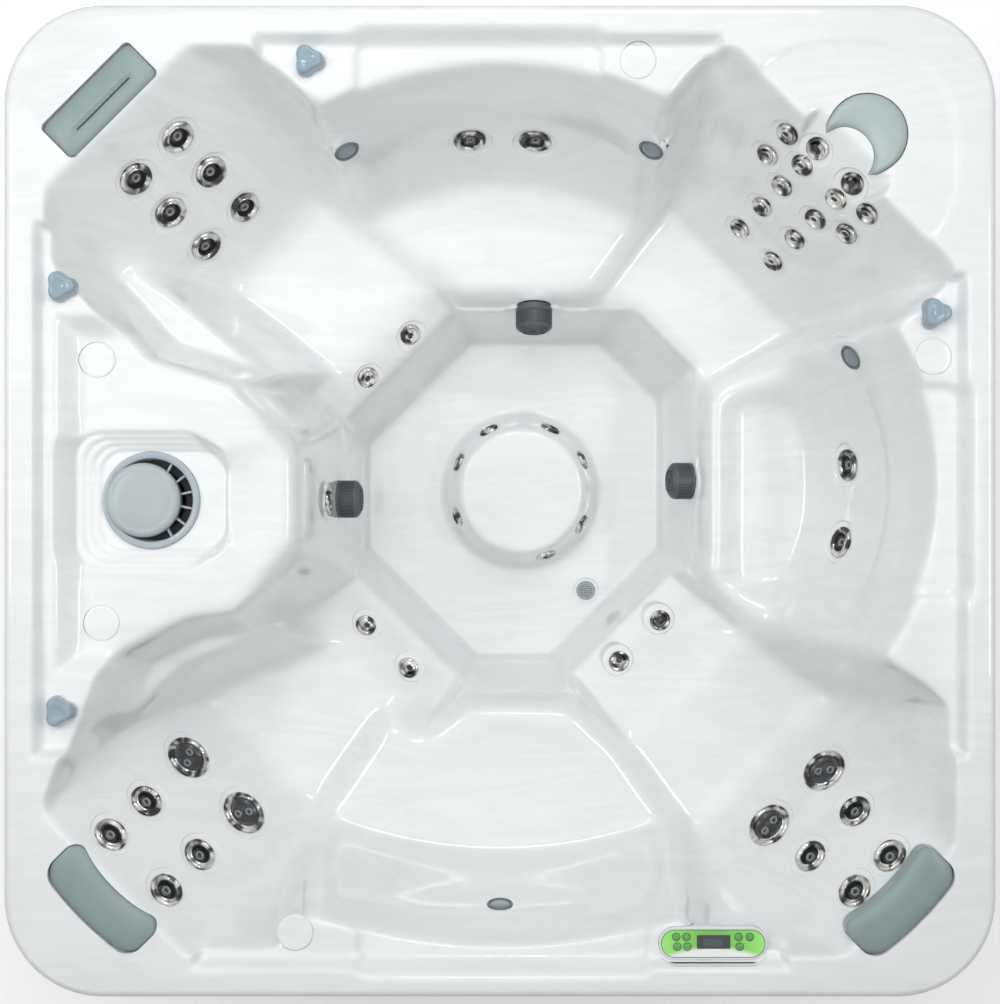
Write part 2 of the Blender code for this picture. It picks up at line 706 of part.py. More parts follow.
def build_shell(cutters):
    """The moulded acrylic shell: upper face, lower face, and the rolled lip that joins them."""
    shape = bmesh.new()
    upper = shell_sheet(shape, surface)
    loop = [e for e in shape.edges if e.is_boundary]
    lower = shell_sheet(shape, underside)
    bmesh.ops.reverse_faces(shape, faces=[f for f in shape.faces if f.verts[0] in set(lower)])
    lower_loop = [e for e in shape.edges if e.is_boundary and e.verts[0] in set(lower)]
    roll = [(0, 0)]
    for step in range(1, 4):
        angle = math.pi / 2 * step / 3
        roll.append((LIP_ROLL * math.sin(angle), -LIP_ROLL * (1 - math.cos(angle))))
    roll += [(LIP_ROLL, -LIP_DROP), (LIP_ROLL - SHELL_WALL, -LIP_DROP), (LIP_ROLL - SHELL_WALL, -LIP_ROLL)]
    for before, after in zip(roll, roll[1:]):
        made = bmesh.ops.extrude_edge_only(shape, edges=loop)["geom"]
        fresh = [g for g in made if isinstance(g, bmesh.types.BMVert)]
        loop = [g for g in made if isinstance(g, bmesh.types.BMEdge) and g.is_boundary]
        for vertex in fresh:
            out = outline_normal(vertex.co - outline_normal(vertex.co) * before[0])
            vertex.co += out * (after[0] - before[0]) + Vector((0, 0, after[1] - before[1]))
    bmesh.ops.bridge_loops(shape, edges=loop + lower_loop)
    bmesh.ops.triangulate(shape, faces=shape.faces)
    shell = add_object("acrylic_shell", mesh_of("acrylic_shell", shape), ACRYLIC)
    thinned = shell.modifiers.new("fewer_faces", "DECIMATE")
    thinned.ratio = SHELL_KEEP
    cut(shell, cutters)
    return shell


def hole(cutters, name, frame, radius, sides, above=0.03, below=0.05):
    add_cutter(cutters, name + "_hole", cylinder(radius, -below, above, sides), frame)


def jet_frames():
    """Names, kinds and matrices of all the jets."""
    jets = []
    for seat, places in MEDIUM_JETS.items():
        for index, place in enumerate(places):
            frame = surface_frame(*seat_point(seat, *place))
            jets.append((f"{seat}_jet_{index + 1}", "medium", seat, frame))
    for index, side in enumerate((-0.0707, 0.0825)):
        frame = wall_frame((side, 0.30), (0, 1), 0.60)
        jets.append((f"far_bench_jet_{index + 1}", "medium", "far_bench", frame))
    for index, side in enumerate((0.086, -0.098)):
        frame = wall_frame((0.52, side), (1, 0), 0.545)
        jets.append((f"right_bench_jet_{index + 1}", "medium", "right_bench", frame))
    for seat, places in LARGE_JETS.items():
        for index, place in enumerate(places):
            frame = surface_frame(*seat_point(seat, *place))
            jets.append((f"{seat}_rotor_{index + 1}", "large", seat, frame))
    rows = CLUSTER_ROWS + CLUSTER_OUTER_ROWS
    cluster = [(out, side * across) for out, across in rows for side in (-1, 1)]
    for index, place in enumerate(cluster):
        frame = surface_frame(*seat_point("top_right", *place))
        jets.append((f"cluster_jet_{index + 1}", "mini", "top_right", frame))
    for seat, places in CALF_JETS.items():
        for index, place in enumerate(places):
            frame = surface_frame(*seat_point(seat, *place))
            jets.append((f"{seat}_calf_jet_{index + 1}", "mini", "calf_" + seat, frame))
    jets.append(("left_wall_jet", "mini", "left_wall", wall_frame((-0.30, 0.0), (-1, 0), 0.57)))
    for index, angle in enumerate(DOME_JET_ANGLES):
        x = DOME_CENTRE[0] + DOME_JET_RADIUS * math.cos(math.radians(angle))
        y = DOME_CENTRE[1] + DOME_JET_RADIUS * math.sin(math.radians(angle))
        jets.append((f"dome_jet_{index + 1}", "mini", "dome", surface_frame(x, y)))
    return jets


def behind(frame, depth=HEADER_DEPTH):
    return frame @ Vector((0, 0, -depth))


def build_jets(cutters):
    """Turning jet faces and rotors, and the glued-up sockets and pipes behind them."""
    radii = {"mini": MINI_RADIUS, "medium": MEDIUM_RADIUS, "large": LARGE_RADIUS}
    hole_sides = {"mini": 6, "medium": 8, "large": 10}
    face_sides = {"medium": 9, "large": 12}
    plumbing, groups = [], {}
    for name, kind, group, frame in jet_frames():
        radius, count = radii[kind], hole_sides[kind]
        hole(cutters, name, frame, around(radius, TURN_GAP, count), count)
        groups.setdefault(group, []).append(behind(frame))
        front = FACE_PROUD if kind == "mini" else -FACE_DEPTH - GAP
        body_radius = radius if kind == "mini" else radius * FACE_SHARE
        back = -SOCKET_DEPTH - SOCKET_TAIL
        body = cylinder(radius * SOCKET_TAPER, back, front, SOCKET_SIDES, body_radius)
        plumbing.append((mesh_of(name + "_socket", body), frame))
        if kind == "mini":
            continue
        mouth = NOZZLE_RADIUS if kind == "medium" else LARGE_NOZZLE_RADIUS
        profile = [
            (0, -NOZZLE_DEPTH), (mouth, -NOZZLE_DEPTH), (radius * BOWL_SHARE, 0.0),
            (radius * FACE_SHARE, FACE_PROUD), (radius, 0.0), (radius, -FACE_DEPTH), (0, -FACE_DEPTH),
        ]
        add_object(name, turned(name, profile, face_sides[kind]), CHROME, frame)
    add_pipes(plumbing, groups)
    union_of("jet_plumbing", plumbing, PVC)


def add_pipes(plumbing, groups):
    """Cross pipes behind each group of jets, the riser to each group, and the supply ring."""
    def link(first, second, radius=CROSS_PIPE_RADIUS, sides=PIPE_SIDES, open_start=False):
        """A pipe whose ends run on into the fittings they meet, but for a start that faces a pump."""
        first, second = Vector(first), Vector(second)
        run_on = (second - first).normalized() * radius * PIPE_RUN_ON
        start = first if open_start else first - run_on
        plumbing.append(pipe("pipe", start, second + run_on, radius, sides, PIPE_ROLL * len(plumbing)))

    ring_out = RING_CORNER / DIAGONAL
    corners = {
        name: Vector((seat[0][0] * ring_out, seat[0][1] * ring_out, RING_HEIGHT))
        for name, seat in SEATS.items()
    }
    for name, corner in corners.items():
        points = groups[name]
        pairs = [(points[i], points[i + 1]) for i in range(0, len(points), 2)]
        middles = []
        for left, right in pairs:
            link(left, right)
            middles.append((left + right) / 2)
        middles.sort(key=lambda place: place.z)
        link(corner, middles[0], HEADER_RADIUS, HEADER_SIDES)
        link(middles[0], middles[-1], HEADER_RADIUS, HEADER_SIDES)
    far_middle = sum(groups["far_bench"], Vector()) / 2
    right_middle = sum(groups["right_bench"], Vector()) / 2
    link(*groups["far_bench"])
    link(*groups["right_bench"])
    link(far_middle, (far_middle.x, RING_REACH, RING_HEIGHT), HEADER_RADIUS)
    link(right_middle, (RING_REACH, right_middle.y, RING_HEIGHT), HEADER_RADIUS)
    turns = [
        corners["top_left"], Vector((-RING_TURN, RING_REACH, RING_HEIGHT)),
        Vector((RING_TURN, RING_REACH, RING_HEIGHT)), corners["top_right"],
        Vector((RING_REACH, RING_TURN, RING_HEIGHT)), Vector((RING_REACH, -RING_TURN, RING_HEIGHT)),
        corners["bottom_right"], Vector((RING_TURN, -RING_REACH, RING_HEIGHT)),
        Vector((-RING_TURN, -RING_REACH, RING_HEIGHT)), corners["bottom_left"],
    ]
    for first, second in zip(turns, turns[1:]):
        link(first, second, RING_RADIUS, RING_SIDES)
    for name in ("top_left", "bottom_left", "bottom_right"):
        pair = groups["calf_" + name]
        link(*pair)
        link((pair[0] + pair[1]) / 2, corners[name], HEADER_RADIUS)
    dome_hub = Vector((*DOME_CENTRE, FLOOR_HEIGHT))
    half_hub = Vector((0, 0, HUB_HEIGHT / 2))
    plumbing.append(pipe("dome_manifold", dome_hub - half_hub, dome_hub + half_hub, HUB_RADIUS, RING_SIDES))
    for place in groups["dome"]:
        link(place, dome_hub)
    under_floor = (PAN_THICKNESS + FLOOR_HEIGHT - SHELL_WALL) / 2
    low_hub = Vector((*DOME_CENTRE, under_floor))
    low_turn = Vector((DOME_CENTRE[0], DOME_LINE_TURN, under_floor))
    link(dome_hub, low_hub, HEADER_RADIUS)
    link(low_hub, low_turn, HEADER_RADIUS)
    link(low_turn, (DOME_CENTRE[0], RING_REACH, RING_HEIGHT), HEADER_RADIUS)
    wall_jet = groups["left_wall"][0]
    wall_turn = Vector((wall_jet.x, wall_jet.y, RING_HEIGHT))
    link(wall_jet, wall_turn)
    link(wall_turn, corners["top_left"])
    for name, place in KNOBS.items():
        top = float(surface(*place)) + VALVE_PROUD
        low_end, high_end = (*place, RING_HEIGHT - VALVE_RADIUS), (*place, top)
        plumbing.append(pipe(name + "_valve", low_end, high_end, VALVE_RADIUS, VALVE_SIDES))
    far_x, right_y = KNOBS["far_knob"][0], KNOBS["right_knob"][1]
    link((*KNOBS["far_knob"], RING_HEIGHT), (far_x, RING_REACH, RING_HEIGHT), VALVE_LINE_RADIUS)
    link((*KNOBS["right_knob"], RING_HEIGHT), (RING_REACH, right_y, RING_HEIGHT), VALVE_LINE_RADIUS)
    far, near = KNOBS["left_far_knob"], KNOBS["left_near_knob"]
    link((*far, RING_HEIGHT), corners["top_left"])
    link((*near, RING_HEIGHT), corners["bottom_left"])
    for side, name in ((1, "top_left"), (-1, "bottom_left")):
        start = Vector((wet_end_middle(), side * (PUMP_SIDE + STUB_REACH + GAP), pump_height()))
        turn = Vector((start.x, side * PUMP_LINE_TURN, start.z))
        link(start, turn, STUB_RADIUS, RING_SIDES, open_start=True)
        link(turn, corners[name], STUB_RADIUS, RING_SIDES)


def wet_end_middle():
    return PUMP_MIDDLE + PUMP_LENGTH / 2 + WET_END_LENGTH / 2


def pump_height():
    return PAN_THICKNESS + GAP + WET_END_RADIUS


def post_outline(grow):
    """A corner post in plan, grown or shrunk all round."""
    middle = CABINET_HALF - CABINET_CORNER
    angles = [math.pi / 2 * step / CORNER_STEPS for step in range(CORNER_STEPS + 1)]
    outer, inner = CABINET_CORNER + grow, CABINET_CORNER - POST_DEPTH - grow
    points = [(middle + outer * math.cos(a), middle + outer * math.sin(a)) for a in angles]
    return points + [(middle + inner * math.cos(a), middle + inner * math.sin(a)) for a in reversed(angles)]


def build_cabinet(cutters):
    """The base pan, the frame with its corner posts, and the four panels."""
    pan = prism("base_pan", [rounded_square(CABINET_HALF, CABINET_CORNER)], 0, PAN_THICKNESS)
    add_object("base_pan", pan, BLACK_PLASTIC)
    inset = PANEL_THICKNESS + GAP
    rails = [
        rounded_square(CABINET_HALF - inset, CABINET_CORNER - inset),
        rounded_square(CABINET_HALF - inset - RAIL_WIDTH, CABINET_CORNER - inset - RAIL_WIDTH),
    ]
    low, high = PAN_THICKNESS + GAP, PILLOW_POCKET - SHELL_WALL - GAP
    pieces = [
        (prism("low_rail", rails, low, low + RAIL_HEIGHT), Matrix()),
        (prism("high_rail", rails, high - RAIL_HEIGHT, high), Matrix()),
    ]
    post_top = RIM_HEIGHT - SHELL_WALL - GAP
    middle = CABINET_HALF - CABINET_CORNER
    for quarter in range(4):
        turn = Matrix.Rotation(math.pi / 2 * quarter, 4, "Z")
        pieces.append((prism(f"post_{quarter}", [post_outline(0.0)], low, post_top), turn))
        seat = prism(f"post_seat_{quarter}", [post_outline(GAP)], PANEL_TOP, post_top + GAP)
        cutter = add_object(f"post_seat_{quarter}", seat, None, turn, cutters)
        cutter.hide_render = True
        cutter.display_type = "WIRE"
    union_of("cabinet_frame", pieces, GREY_PLASTIC)
    width = 2 * (middle - GAP)
    height = PANEL_TOP - low
    for name, turns in (("right_panel", 0), ("back_panel", 1), ("access_panel", 2), ("front_panel", 3)):
        centre = (CABINET_HALF - PANEL_THICKNESS / 2, 0, low + height / 2)
        panel = mesh_of(name, box((PANEL_THICKNESS, width, height), centre))
        add_object(name, panel, GREY_PLASTIC, Matrix.Rotation(math.pi / 2 * turns, 4, "Z"))


def build_filter(cutters):
    """The filter canister, its cartridge, and the lid that lifts out."""
    top = FILTER_POCKET + CANISTER_PROUD
    bore = CANISTER_RADIUS - CANISTER_WALL
    floor = CANISTER_BASE + CANISTER_WALL
    ledge = top - LEDGE_DEPTH
    place = Matrix.Translation((*CANISTER_CENTRE, 0))
    can = [
        (bore, top), (CANISTER_RADIUS, top), (CANISTER_RADIUS, CANISTER_BASE), (0, CANISTER_BASE),
        (0, floor), (bore, floor), (bore, ledge - CANISTER_WALL), (LEDGE_RADIUS, ledge - CANISTER_WALL),
        (LEDGE_RADIUS, ledge), (bore, ledge),
    ]
    add_object("filter_canister", turned("filter_canister", can, CAN_SIDES), GREY_PLASTIC, place)
    opening = cylinder(around(CANISTER_RADIUS, GAP, CAN_SIDES), ledge, RIM_HEIGHT, CAN_SIDES)
    add_cutter(cutters, "canister_hole", opening, place)
    seat = floor + GAP
    paper = [
        (CARTRIDGE_BORE, seat + CARTRIDGE_LENGTH), (CARTRIDGE_RADIUS, seat + CARTRIDGE_LENGTH),
        (CARTRIDGE_RADIUS, seat), (CARTRIDGE_BORE, seat),
    ]
    add_object("filter_cartridge", turned("filter_cartridge", paper, CARTRIDGE_SIDES), WHITE_PAPER, place)
    skirt_low, edge = ledge + GAP, top - CANISTER_WALL
    lid = [
        (0, top + LID_CROWN), (LID_RADIUS * DOME_SHARE, top + LID_CROWN * DOME_HEIGHT), (LID_RADIUS, top),
        (LID_RADIUS, edge), (LID_SKIRT_RADIUS, edge), (LID_SKIRT_RADIUS, skirt_low),
        (LID_SKIRT_RADIUS - CANISTER_WALL, skirt_low), (LID_SKIRT_RADIUS - CANISTER_WALL, edge), (0, edge),
    ]
    lid_place = Matrix.Translation((CANISTER_CENTRE[0] - LID_OFFSET, CANISTER_CENTRE[1], 0))
    add_object("filter_lid", turned("filter_lid", lid, CAN_SIDES), GREY_PLASTIC, lid_place)


def build_fittings(cutters):
    """Wall lights, suction covers and the floor drain."""
    walls = {
        "far_light_1": wall_frame((0.0, 0.14), (-0.469, 0.883), 0.70),
        "far_light_2": wall_frame((0.0, 0.14), (0.469, 0.883), 0.70),
        "right_light": wall_frame((0.31, 0.04), (0.863, 0.505), 0.69),
        "near_light": wall_frame((0.0, 0.251), (0.0, -1.0), 0.70),
    }
    lens = [
        (0, LIGHT_PROUD / 2), (LIGHT_RADIUS * LENS_SHARE, LIGHT_PROUD / 2), (LIGHT_RADIUS, LIGHT_PROUD),
        (LIGHT_RADIUS, -LIGHT_DEPTH), (0, -LIGHT_DEPTH),
    ]
    for name, frame in walls.items():
        hole(cutters, name, frame, around(LIGHT_RADIUS, GAP, SMALL_SIDES), SMALL_SIDES)
        add_object(name, turned(name, lens, LENS_SIDES), GREY_PLASTIC, frame)
    suctions = {
        "far_suction_cover": wall_frame((0.085, 0.20), (0, 1), 0.37),
        "right_suction_cover": wall_frame((0.25, 0.051), (1, 0), 0.34),
        "left_suction_cover": wall_frame((-0.15, 0.005), (-1, 0), 0.45),
    }
    throat = SUCTION_RADIUS / 2
    cover = [
        (0, SUCTION_PROUD), (SUCTION_RADIUS - SUCTION_CHAMFER, SUCTION_PROUD),
        (SUCTION_RADIUS, SUCTION_PROUD - SUCTION_CHAMFER), (SUCTION_RADIUS, -SUCTION_FLANGE),
        (throat, -SUCTION_FLANGE), (throat, -SUCTION_DEPTH), (0, -SUCTION_DEPTH),
    ]
    opening = SUCTION_RADIUS + GAP / math.cos(math.pi / SUCTION_SIDES)
    for name, frame in suctions.items():
        hole(cutters, name, frame, opening, SUCTION_SIDES)
        add_object(name, turned(name, cover, SUCTION_SIDES), SLATE_PLASTIC, frame)
    drain_frame = surface_frame(*DRAIN_CENTRE)
    hole(cutters, "floor_drain", drain_frame, around(DRAIN_RADIUS, GAP, SMALL_SIDES), SMALL_SIDES)
    grate = [
        (0, DRAIN_PROUD), (DRAIN_RADIUS, DRAIN_PROUD), (DRAIN_RADIUS, -DRAIN_DEPTH), (0, -DRAIN_DEPTH),
    ]
    add_object("floor_drain", turned("floor_drain", grate, LENS_SIDES), SLATE_PLASTIC, drain_frame)


def build_knobs(cutters):
    """Three-lobed knobs, each turning on top of its valve's stem."""
    for name, place in KNOBS.items():
        deck = float(surface(*place))
        opening = Matrix.Translation((*place, deck))
        hole(cutters, name, opening, around(VALVE_RADIUS, GAP, VALVE_SIDES), VALVE_SIDES)
        shape = cylinder(KNOB_RADIUS, 0, KNOB_HEIGHT, KNOB_SIDES, KNOB_RADIUS * KNOB_TAPER)
        for vertex in shape.verts:
            lobe = 1 + KNOB_LOBE * math.cos(3 * math.atan2(vertex.co.y, vertex.co.x))
            vertex.co.x *= lobe
            vertex.co.y *= lobe
        seat = Matrix.Translation((*place, deck + VALVE_PROUD + GAP))
        add_object(name, mesh_of(name, shape), KNOB_BLUE, seat)
        sweep = KNOB_RADIUS * (1 + KNOB_LOBE) + KNOB_ROOM
        room = cylinder(sweep, 0, RIM_HEIGHT - deck, KNOB_SIDES)
        add_cutter(cutters, name + "_room", room, Matrix.Translation((*place, deck + VALVE_PROUD)))


def stadium(length, width, steps=6):
    """Points round a long outline with half-round ends."""
    radius, reach = width / 2, (length - width) / 2
    points = []
    for side in (1, -1):
        for step in range(steps + 1):
            angle = math.pi * (step / steps - 0.5) + (0 if side > 0 else math.pi)
            points.append((side * reach + radius * math.cos(angle), radius * math.sin(angle)))
    return points


def build_topside(cutters):
    """The topside control: a long housing let into the deck, and its seven sprung buttons."""
    top = SIDE_DECK + PANEL_PROUD
    place = Matrix.Translation((*PANEL_CENTRE, 0))
    body = prism("topside_housing", [stadium(PANEL_LENGTH, PANEL_WIDTH)], SIDE_DECK - PANEL_DEPTH, top)
    housing = add_object("topside_housing", body, GREY_PLASTIC, place)
    outline = stadium(PANEL_LENGTH + 2 * GAP, PANEL_WIDTH + 2 * GAP)
    opening = prism("topside_hole", [outline], SIDE_DECK - SIDE_DECK_DROP, RIM_HEIGHT)
    cutter = add_object("topside_hole", opening, None, place, cutters)
    cutter.hide_render = True
    cutter.display_type = "WIRE"
    pockets = add_group("button_pockets")
    for index, (x, y) in enumerate(BUTTON_PLACES):
        centre = Matrix.Translation((PANEL_CENTRE[0] + x, PANEL_CENTRE[1] + y, top))
        sides = BUTTON_SIDES
        pocket = cylinder(around(BUTTON_RADIUS, GAP, sides), -BUTTON_POCKET, BUTTON_POCKET, sides)
        add_cutter(pockets, f"button_pocket_{index + 1}", pocket, centre)
        low = BUTTON_TRAVEL + GAP - BUTTON_POCKET
        button = cylinder(BUTTON_RADIUS, low, BUTTON_RISE, sides, BUTTON_RADIUS * BUTTON_TAPER)
        add_object(f"button_{index + 1}", mesh_of("button", button), GREY_PLASTIC, centre)
    cut(housing, pockets)


def cushion(name, length, depth, thick, bend):
    """A crowned cushion lying along Y, bent towards -X at its ends, as a mesh standing on its base."""
    shape = box((depth, length, thick), (0, 0, thick / 2))
    bmesh.ops.subdivide_edges(shape, edges=shape.edges, cuts=CUSHION_CUTS, use_grid_fill=True)
    for vertex in shape.verts:
        across, along = 2 * vertex.co.x / depth, 2 * vertex.co.y / length
        vertex.co.z *= math.sqrt(1 - CROWN_FALL * across * across) * math.sqrt(1 - END_FALL * along * along)
        vertex.co.y *= 1 - DRAW_IN * across * across
        vertex.co.x -= bend * along * along
    return mesh_of(name, shape, 60)


def pocket_cutter(cutters, name, shape, place):
    """Trues the floor and sides of a pillow's pocket."""
    lowered = place @ Matrix.Translation((0, 0, -GAP))
    add_cutter(cutters, name + "_pocket", shape, lowered)


def build_pillows(cutters):
    """The four head pillows, each lying in its pocket."""
    for name, distance in PILLOW_DISTANCE.items():
        bend = 0.0 if name == "top_left" else PILLOW_CURVE / 2
        outward = Vector((*SEATS[name][0], 0))
        spot = outward * (distance + bend / 2)
        turn = Matrix.Rotation(math.atan2(outward.y, outward.x), 4, "Z")
        place = Matrix.Translation((spot.x, spot.y, PILLOW_POCKET + GAP)) @ turn
        cover = cushion(name, PILLOW_LENGTH, PILLOW_DEPTH, PILLOW_THICK, bend)
        pillow = add_object(name + "_pillow", cover, PILLOW_GREY, place)
        pillow.modifiers.new("soft", "SUBSURF").levels = 1
        pillow.modifiers["soft"].render_levels = 1
        room = (PILLOW_DEPTH + bend + POCKET_ROOM, PILLOW_LENGTH + POCKET_ROOM, POCKET_CUT)
        pocket_cutter(cutters, name, box(room, (-bend / 2, 0, POCKET_CUT / 2)), place)
    outward = Vector((*SEATS["top_right"][0], 0))
    place = Matrix.Translation((outward * CRESCENT_DISTANCE) + Vector((0, 0, PILLOW_POCKET + GAP)))
    shape = cylinder(CRESCENT_RADIUS, 0, PILLOW_THICK, CRESCENT_SIDES, CRESCENT_RADIUS * CRESCENT_TAPER)
    crescent = add_object("top_right_pillow", mesh_of("top_right_pillow", shape), PILLOW_GREY, place)
    bites = add_group("pillow_bite")
    bite = cylinder(CRESCENT_BITE, -POCKET_MARGIN, PILLOW_THICK + POCKET_MARGIN, CRESCENT_SIDES)
    spot = Matrix.Translation(outward * CRESCENT_BITE_DISTANCE + Vector((0, 0, PILLOW_POCKET)))
    add_cutter(bites, "bite", bite, spot)
    cut(crescent, bites)
    sides = CRESCENT_SIDES
    room = cylinder(around(CRESCENT_RADIUS, POCKET_ROOM / 2, sides), 0, POCKET_CUT, sides)
    pocket_cutter(cutters, "top_right", room, place)


def build_equipment():
    """The two pumps and the control pack with its heater, in the bay under the filter deck."""
    lie_down = Matrix.Rotation(math.pi / 2, 4, "Y")
    height = pump_height()
    for name, side in (("jet_pump", 1), ("circulation_pump", -1)):
        start = Matrix.Translation((PUMP_MIDDLE - PUMP_LENGTH / 2, side * PUMP_SIDE, height)) @ lie_down
        wet_start = start @ Matrix.Translation((0, 0, PUMP_LENGTH - WET_END_OVERLAP))
        foot_centre = (PUMP_MIDDLE, side * PUMP_SIDE, (PAN_THICKNESS + GAP + height) / 2)
        foot = box((FOOT_LENGTH, FOOT_WIDTH, height - PAN_THICKNESS - GAP), foot_centre)
        stub_start = Vector((wet_end_middle(), side * PUMP_SIDE, height))
        stub_end = stub_start + Vector((0, side * STUB_REACH, 0))
        stub = pipe("stub", stub_start, stub_end, STUB_RADIUS, RING_SIDES)
        pieces = [
            (mesh_of("motor", cylinder(PUMP_RADIUS, 0, PUMP_LENGTH, PUMP_SIDES)), start),
            (mesh_of("wet_end", cylinder(WET_END_RADIUS, 0, WET_END_LENGTH, PUMP_SIDES)), wet_start),
            (mesh_of("foot", foot), Matrix()), stub,
        ]
        union_of(name, pieces, BLACK_PLASTIC)
    pack = box(PACK_SIZE, (PACK_CENTRE, 0, PAN_THICKNESS + GAP + PACK_SIZE[2] / 2))
    heater_x = PACK_CENTRE + PACK_SIZE[0] / 2 + HEATER_RADIUS / 2
    heater_z = PAN_THICKNESS + PACK_SIZE[2] / 2
    start, end = (heater_x, -HEATER_LENGTH / 2, heater_z), (heater_x, HEATER_LENGTH / 2, heater_z)
    heater = pipe("heater", start, end, HEATER_RADIUS, PUMP_SIDES)
    union_of("control_pack", [(mesh_of("pack", pack), Matrix()), heater], GREY_PLASTIC)


def main():
    for old in list(bpy.data.objects):
        bpy.data.objects.remove(old)
    cutters = add_group("shell_cutters")
    build_jets(cutters)
    build_fittings(cutters)
    build_knobs(cutters)
    build_topside(cutters)
    build_filter(cutters)
    build_pillows(cutters)
    build_cabinet(cutters)
    build_shell(cutters)
    build_equipment()


PARTS = bpy.data.collections.new("acrylic_hot_tub")
bpy.context.scene.collection.children.link(PARTS)
ACRYLIC = add_material("white_acrylic", (0.86, 0.88, 0.88), 0.12)
CHROME = add_material("chrome_jets", (0.75, 0.75, 0.76), 0.15, 1.0)
PVC = add_material("white_pvc", (0.80, 0.80, 0.78), 0.5)
GREY_PLASTIC = add_material("grey_plastic", (0.42, 0.46, 0.48), 0.35)
SLATE_PLASTIC = add_material("slate_plastic", (0.12, 0.15, 0.16), 0.4)
BLACK_PLASTIC = add_material("black_plastic", (0.04, 0.04, 0.04), 0.5)
KNOB_BLUE = add_material("knob_blue_grey", (0.35, 0.45, 0.52), 0.2)
PILLOW_GREY = add_material("pillow_grey", (0.30, 0.36, 0.36), 0.5)
WHITE_PAPER = add_material("filter_paper", (0.85, 0.85, 0.82), 0.9)

main()
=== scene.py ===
"""Acrylic hot tub seen from straight above.

A marbled white shell with its jets, pillows, filter, topside control, cabinet and pipes, in metres, with +Z
up, +X to the tub's right-hand side and +Y to its far side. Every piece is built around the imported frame.
"""

from __future__ import annotations

import json
import logging
import math
from dataclasses import dataclass, field
from enum import Enum
from typing import Callable

import bmesh
import bpy
import numpy as np
from mathutils import Matrix, Vector

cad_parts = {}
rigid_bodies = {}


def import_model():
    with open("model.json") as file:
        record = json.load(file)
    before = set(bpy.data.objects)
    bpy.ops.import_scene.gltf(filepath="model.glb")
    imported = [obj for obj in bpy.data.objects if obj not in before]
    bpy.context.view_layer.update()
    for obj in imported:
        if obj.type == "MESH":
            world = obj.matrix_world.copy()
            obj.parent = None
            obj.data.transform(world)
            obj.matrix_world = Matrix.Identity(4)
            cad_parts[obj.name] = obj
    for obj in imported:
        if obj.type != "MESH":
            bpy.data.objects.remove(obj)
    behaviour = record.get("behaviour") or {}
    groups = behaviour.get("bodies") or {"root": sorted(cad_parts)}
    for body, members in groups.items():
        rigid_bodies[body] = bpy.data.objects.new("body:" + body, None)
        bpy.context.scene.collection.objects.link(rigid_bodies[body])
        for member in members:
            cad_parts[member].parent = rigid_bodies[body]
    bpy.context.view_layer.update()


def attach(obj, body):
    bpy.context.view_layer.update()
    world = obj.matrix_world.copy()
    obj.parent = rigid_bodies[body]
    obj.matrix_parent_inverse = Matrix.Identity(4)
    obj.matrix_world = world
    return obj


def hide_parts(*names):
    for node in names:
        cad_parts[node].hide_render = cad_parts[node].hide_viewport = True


LOG = logging.getLogger("hot_tub")
DIAGONAL = math.sqrt(0.5)
TUB = "tub"

Point = tuple[float, float]
Point3 = tuple[float, float, float]
Line = tuple[Point, Point]
Run = tuple[list[Vector], float]
Array = np.ndarray
Colour = Point3
Socket = bpy.types.NodeSocket
Material = bpy.types.Material


def tinted(colour: Colour, factor: float) -> Colour:
    """A colour made lighter or darker by a factor."""
    return tuple(min(1.0, part * factor) for part in colour)


def grey(level: float) -> Colour:
    """A colour with one level for all its parts."""
    return (level, level, level)


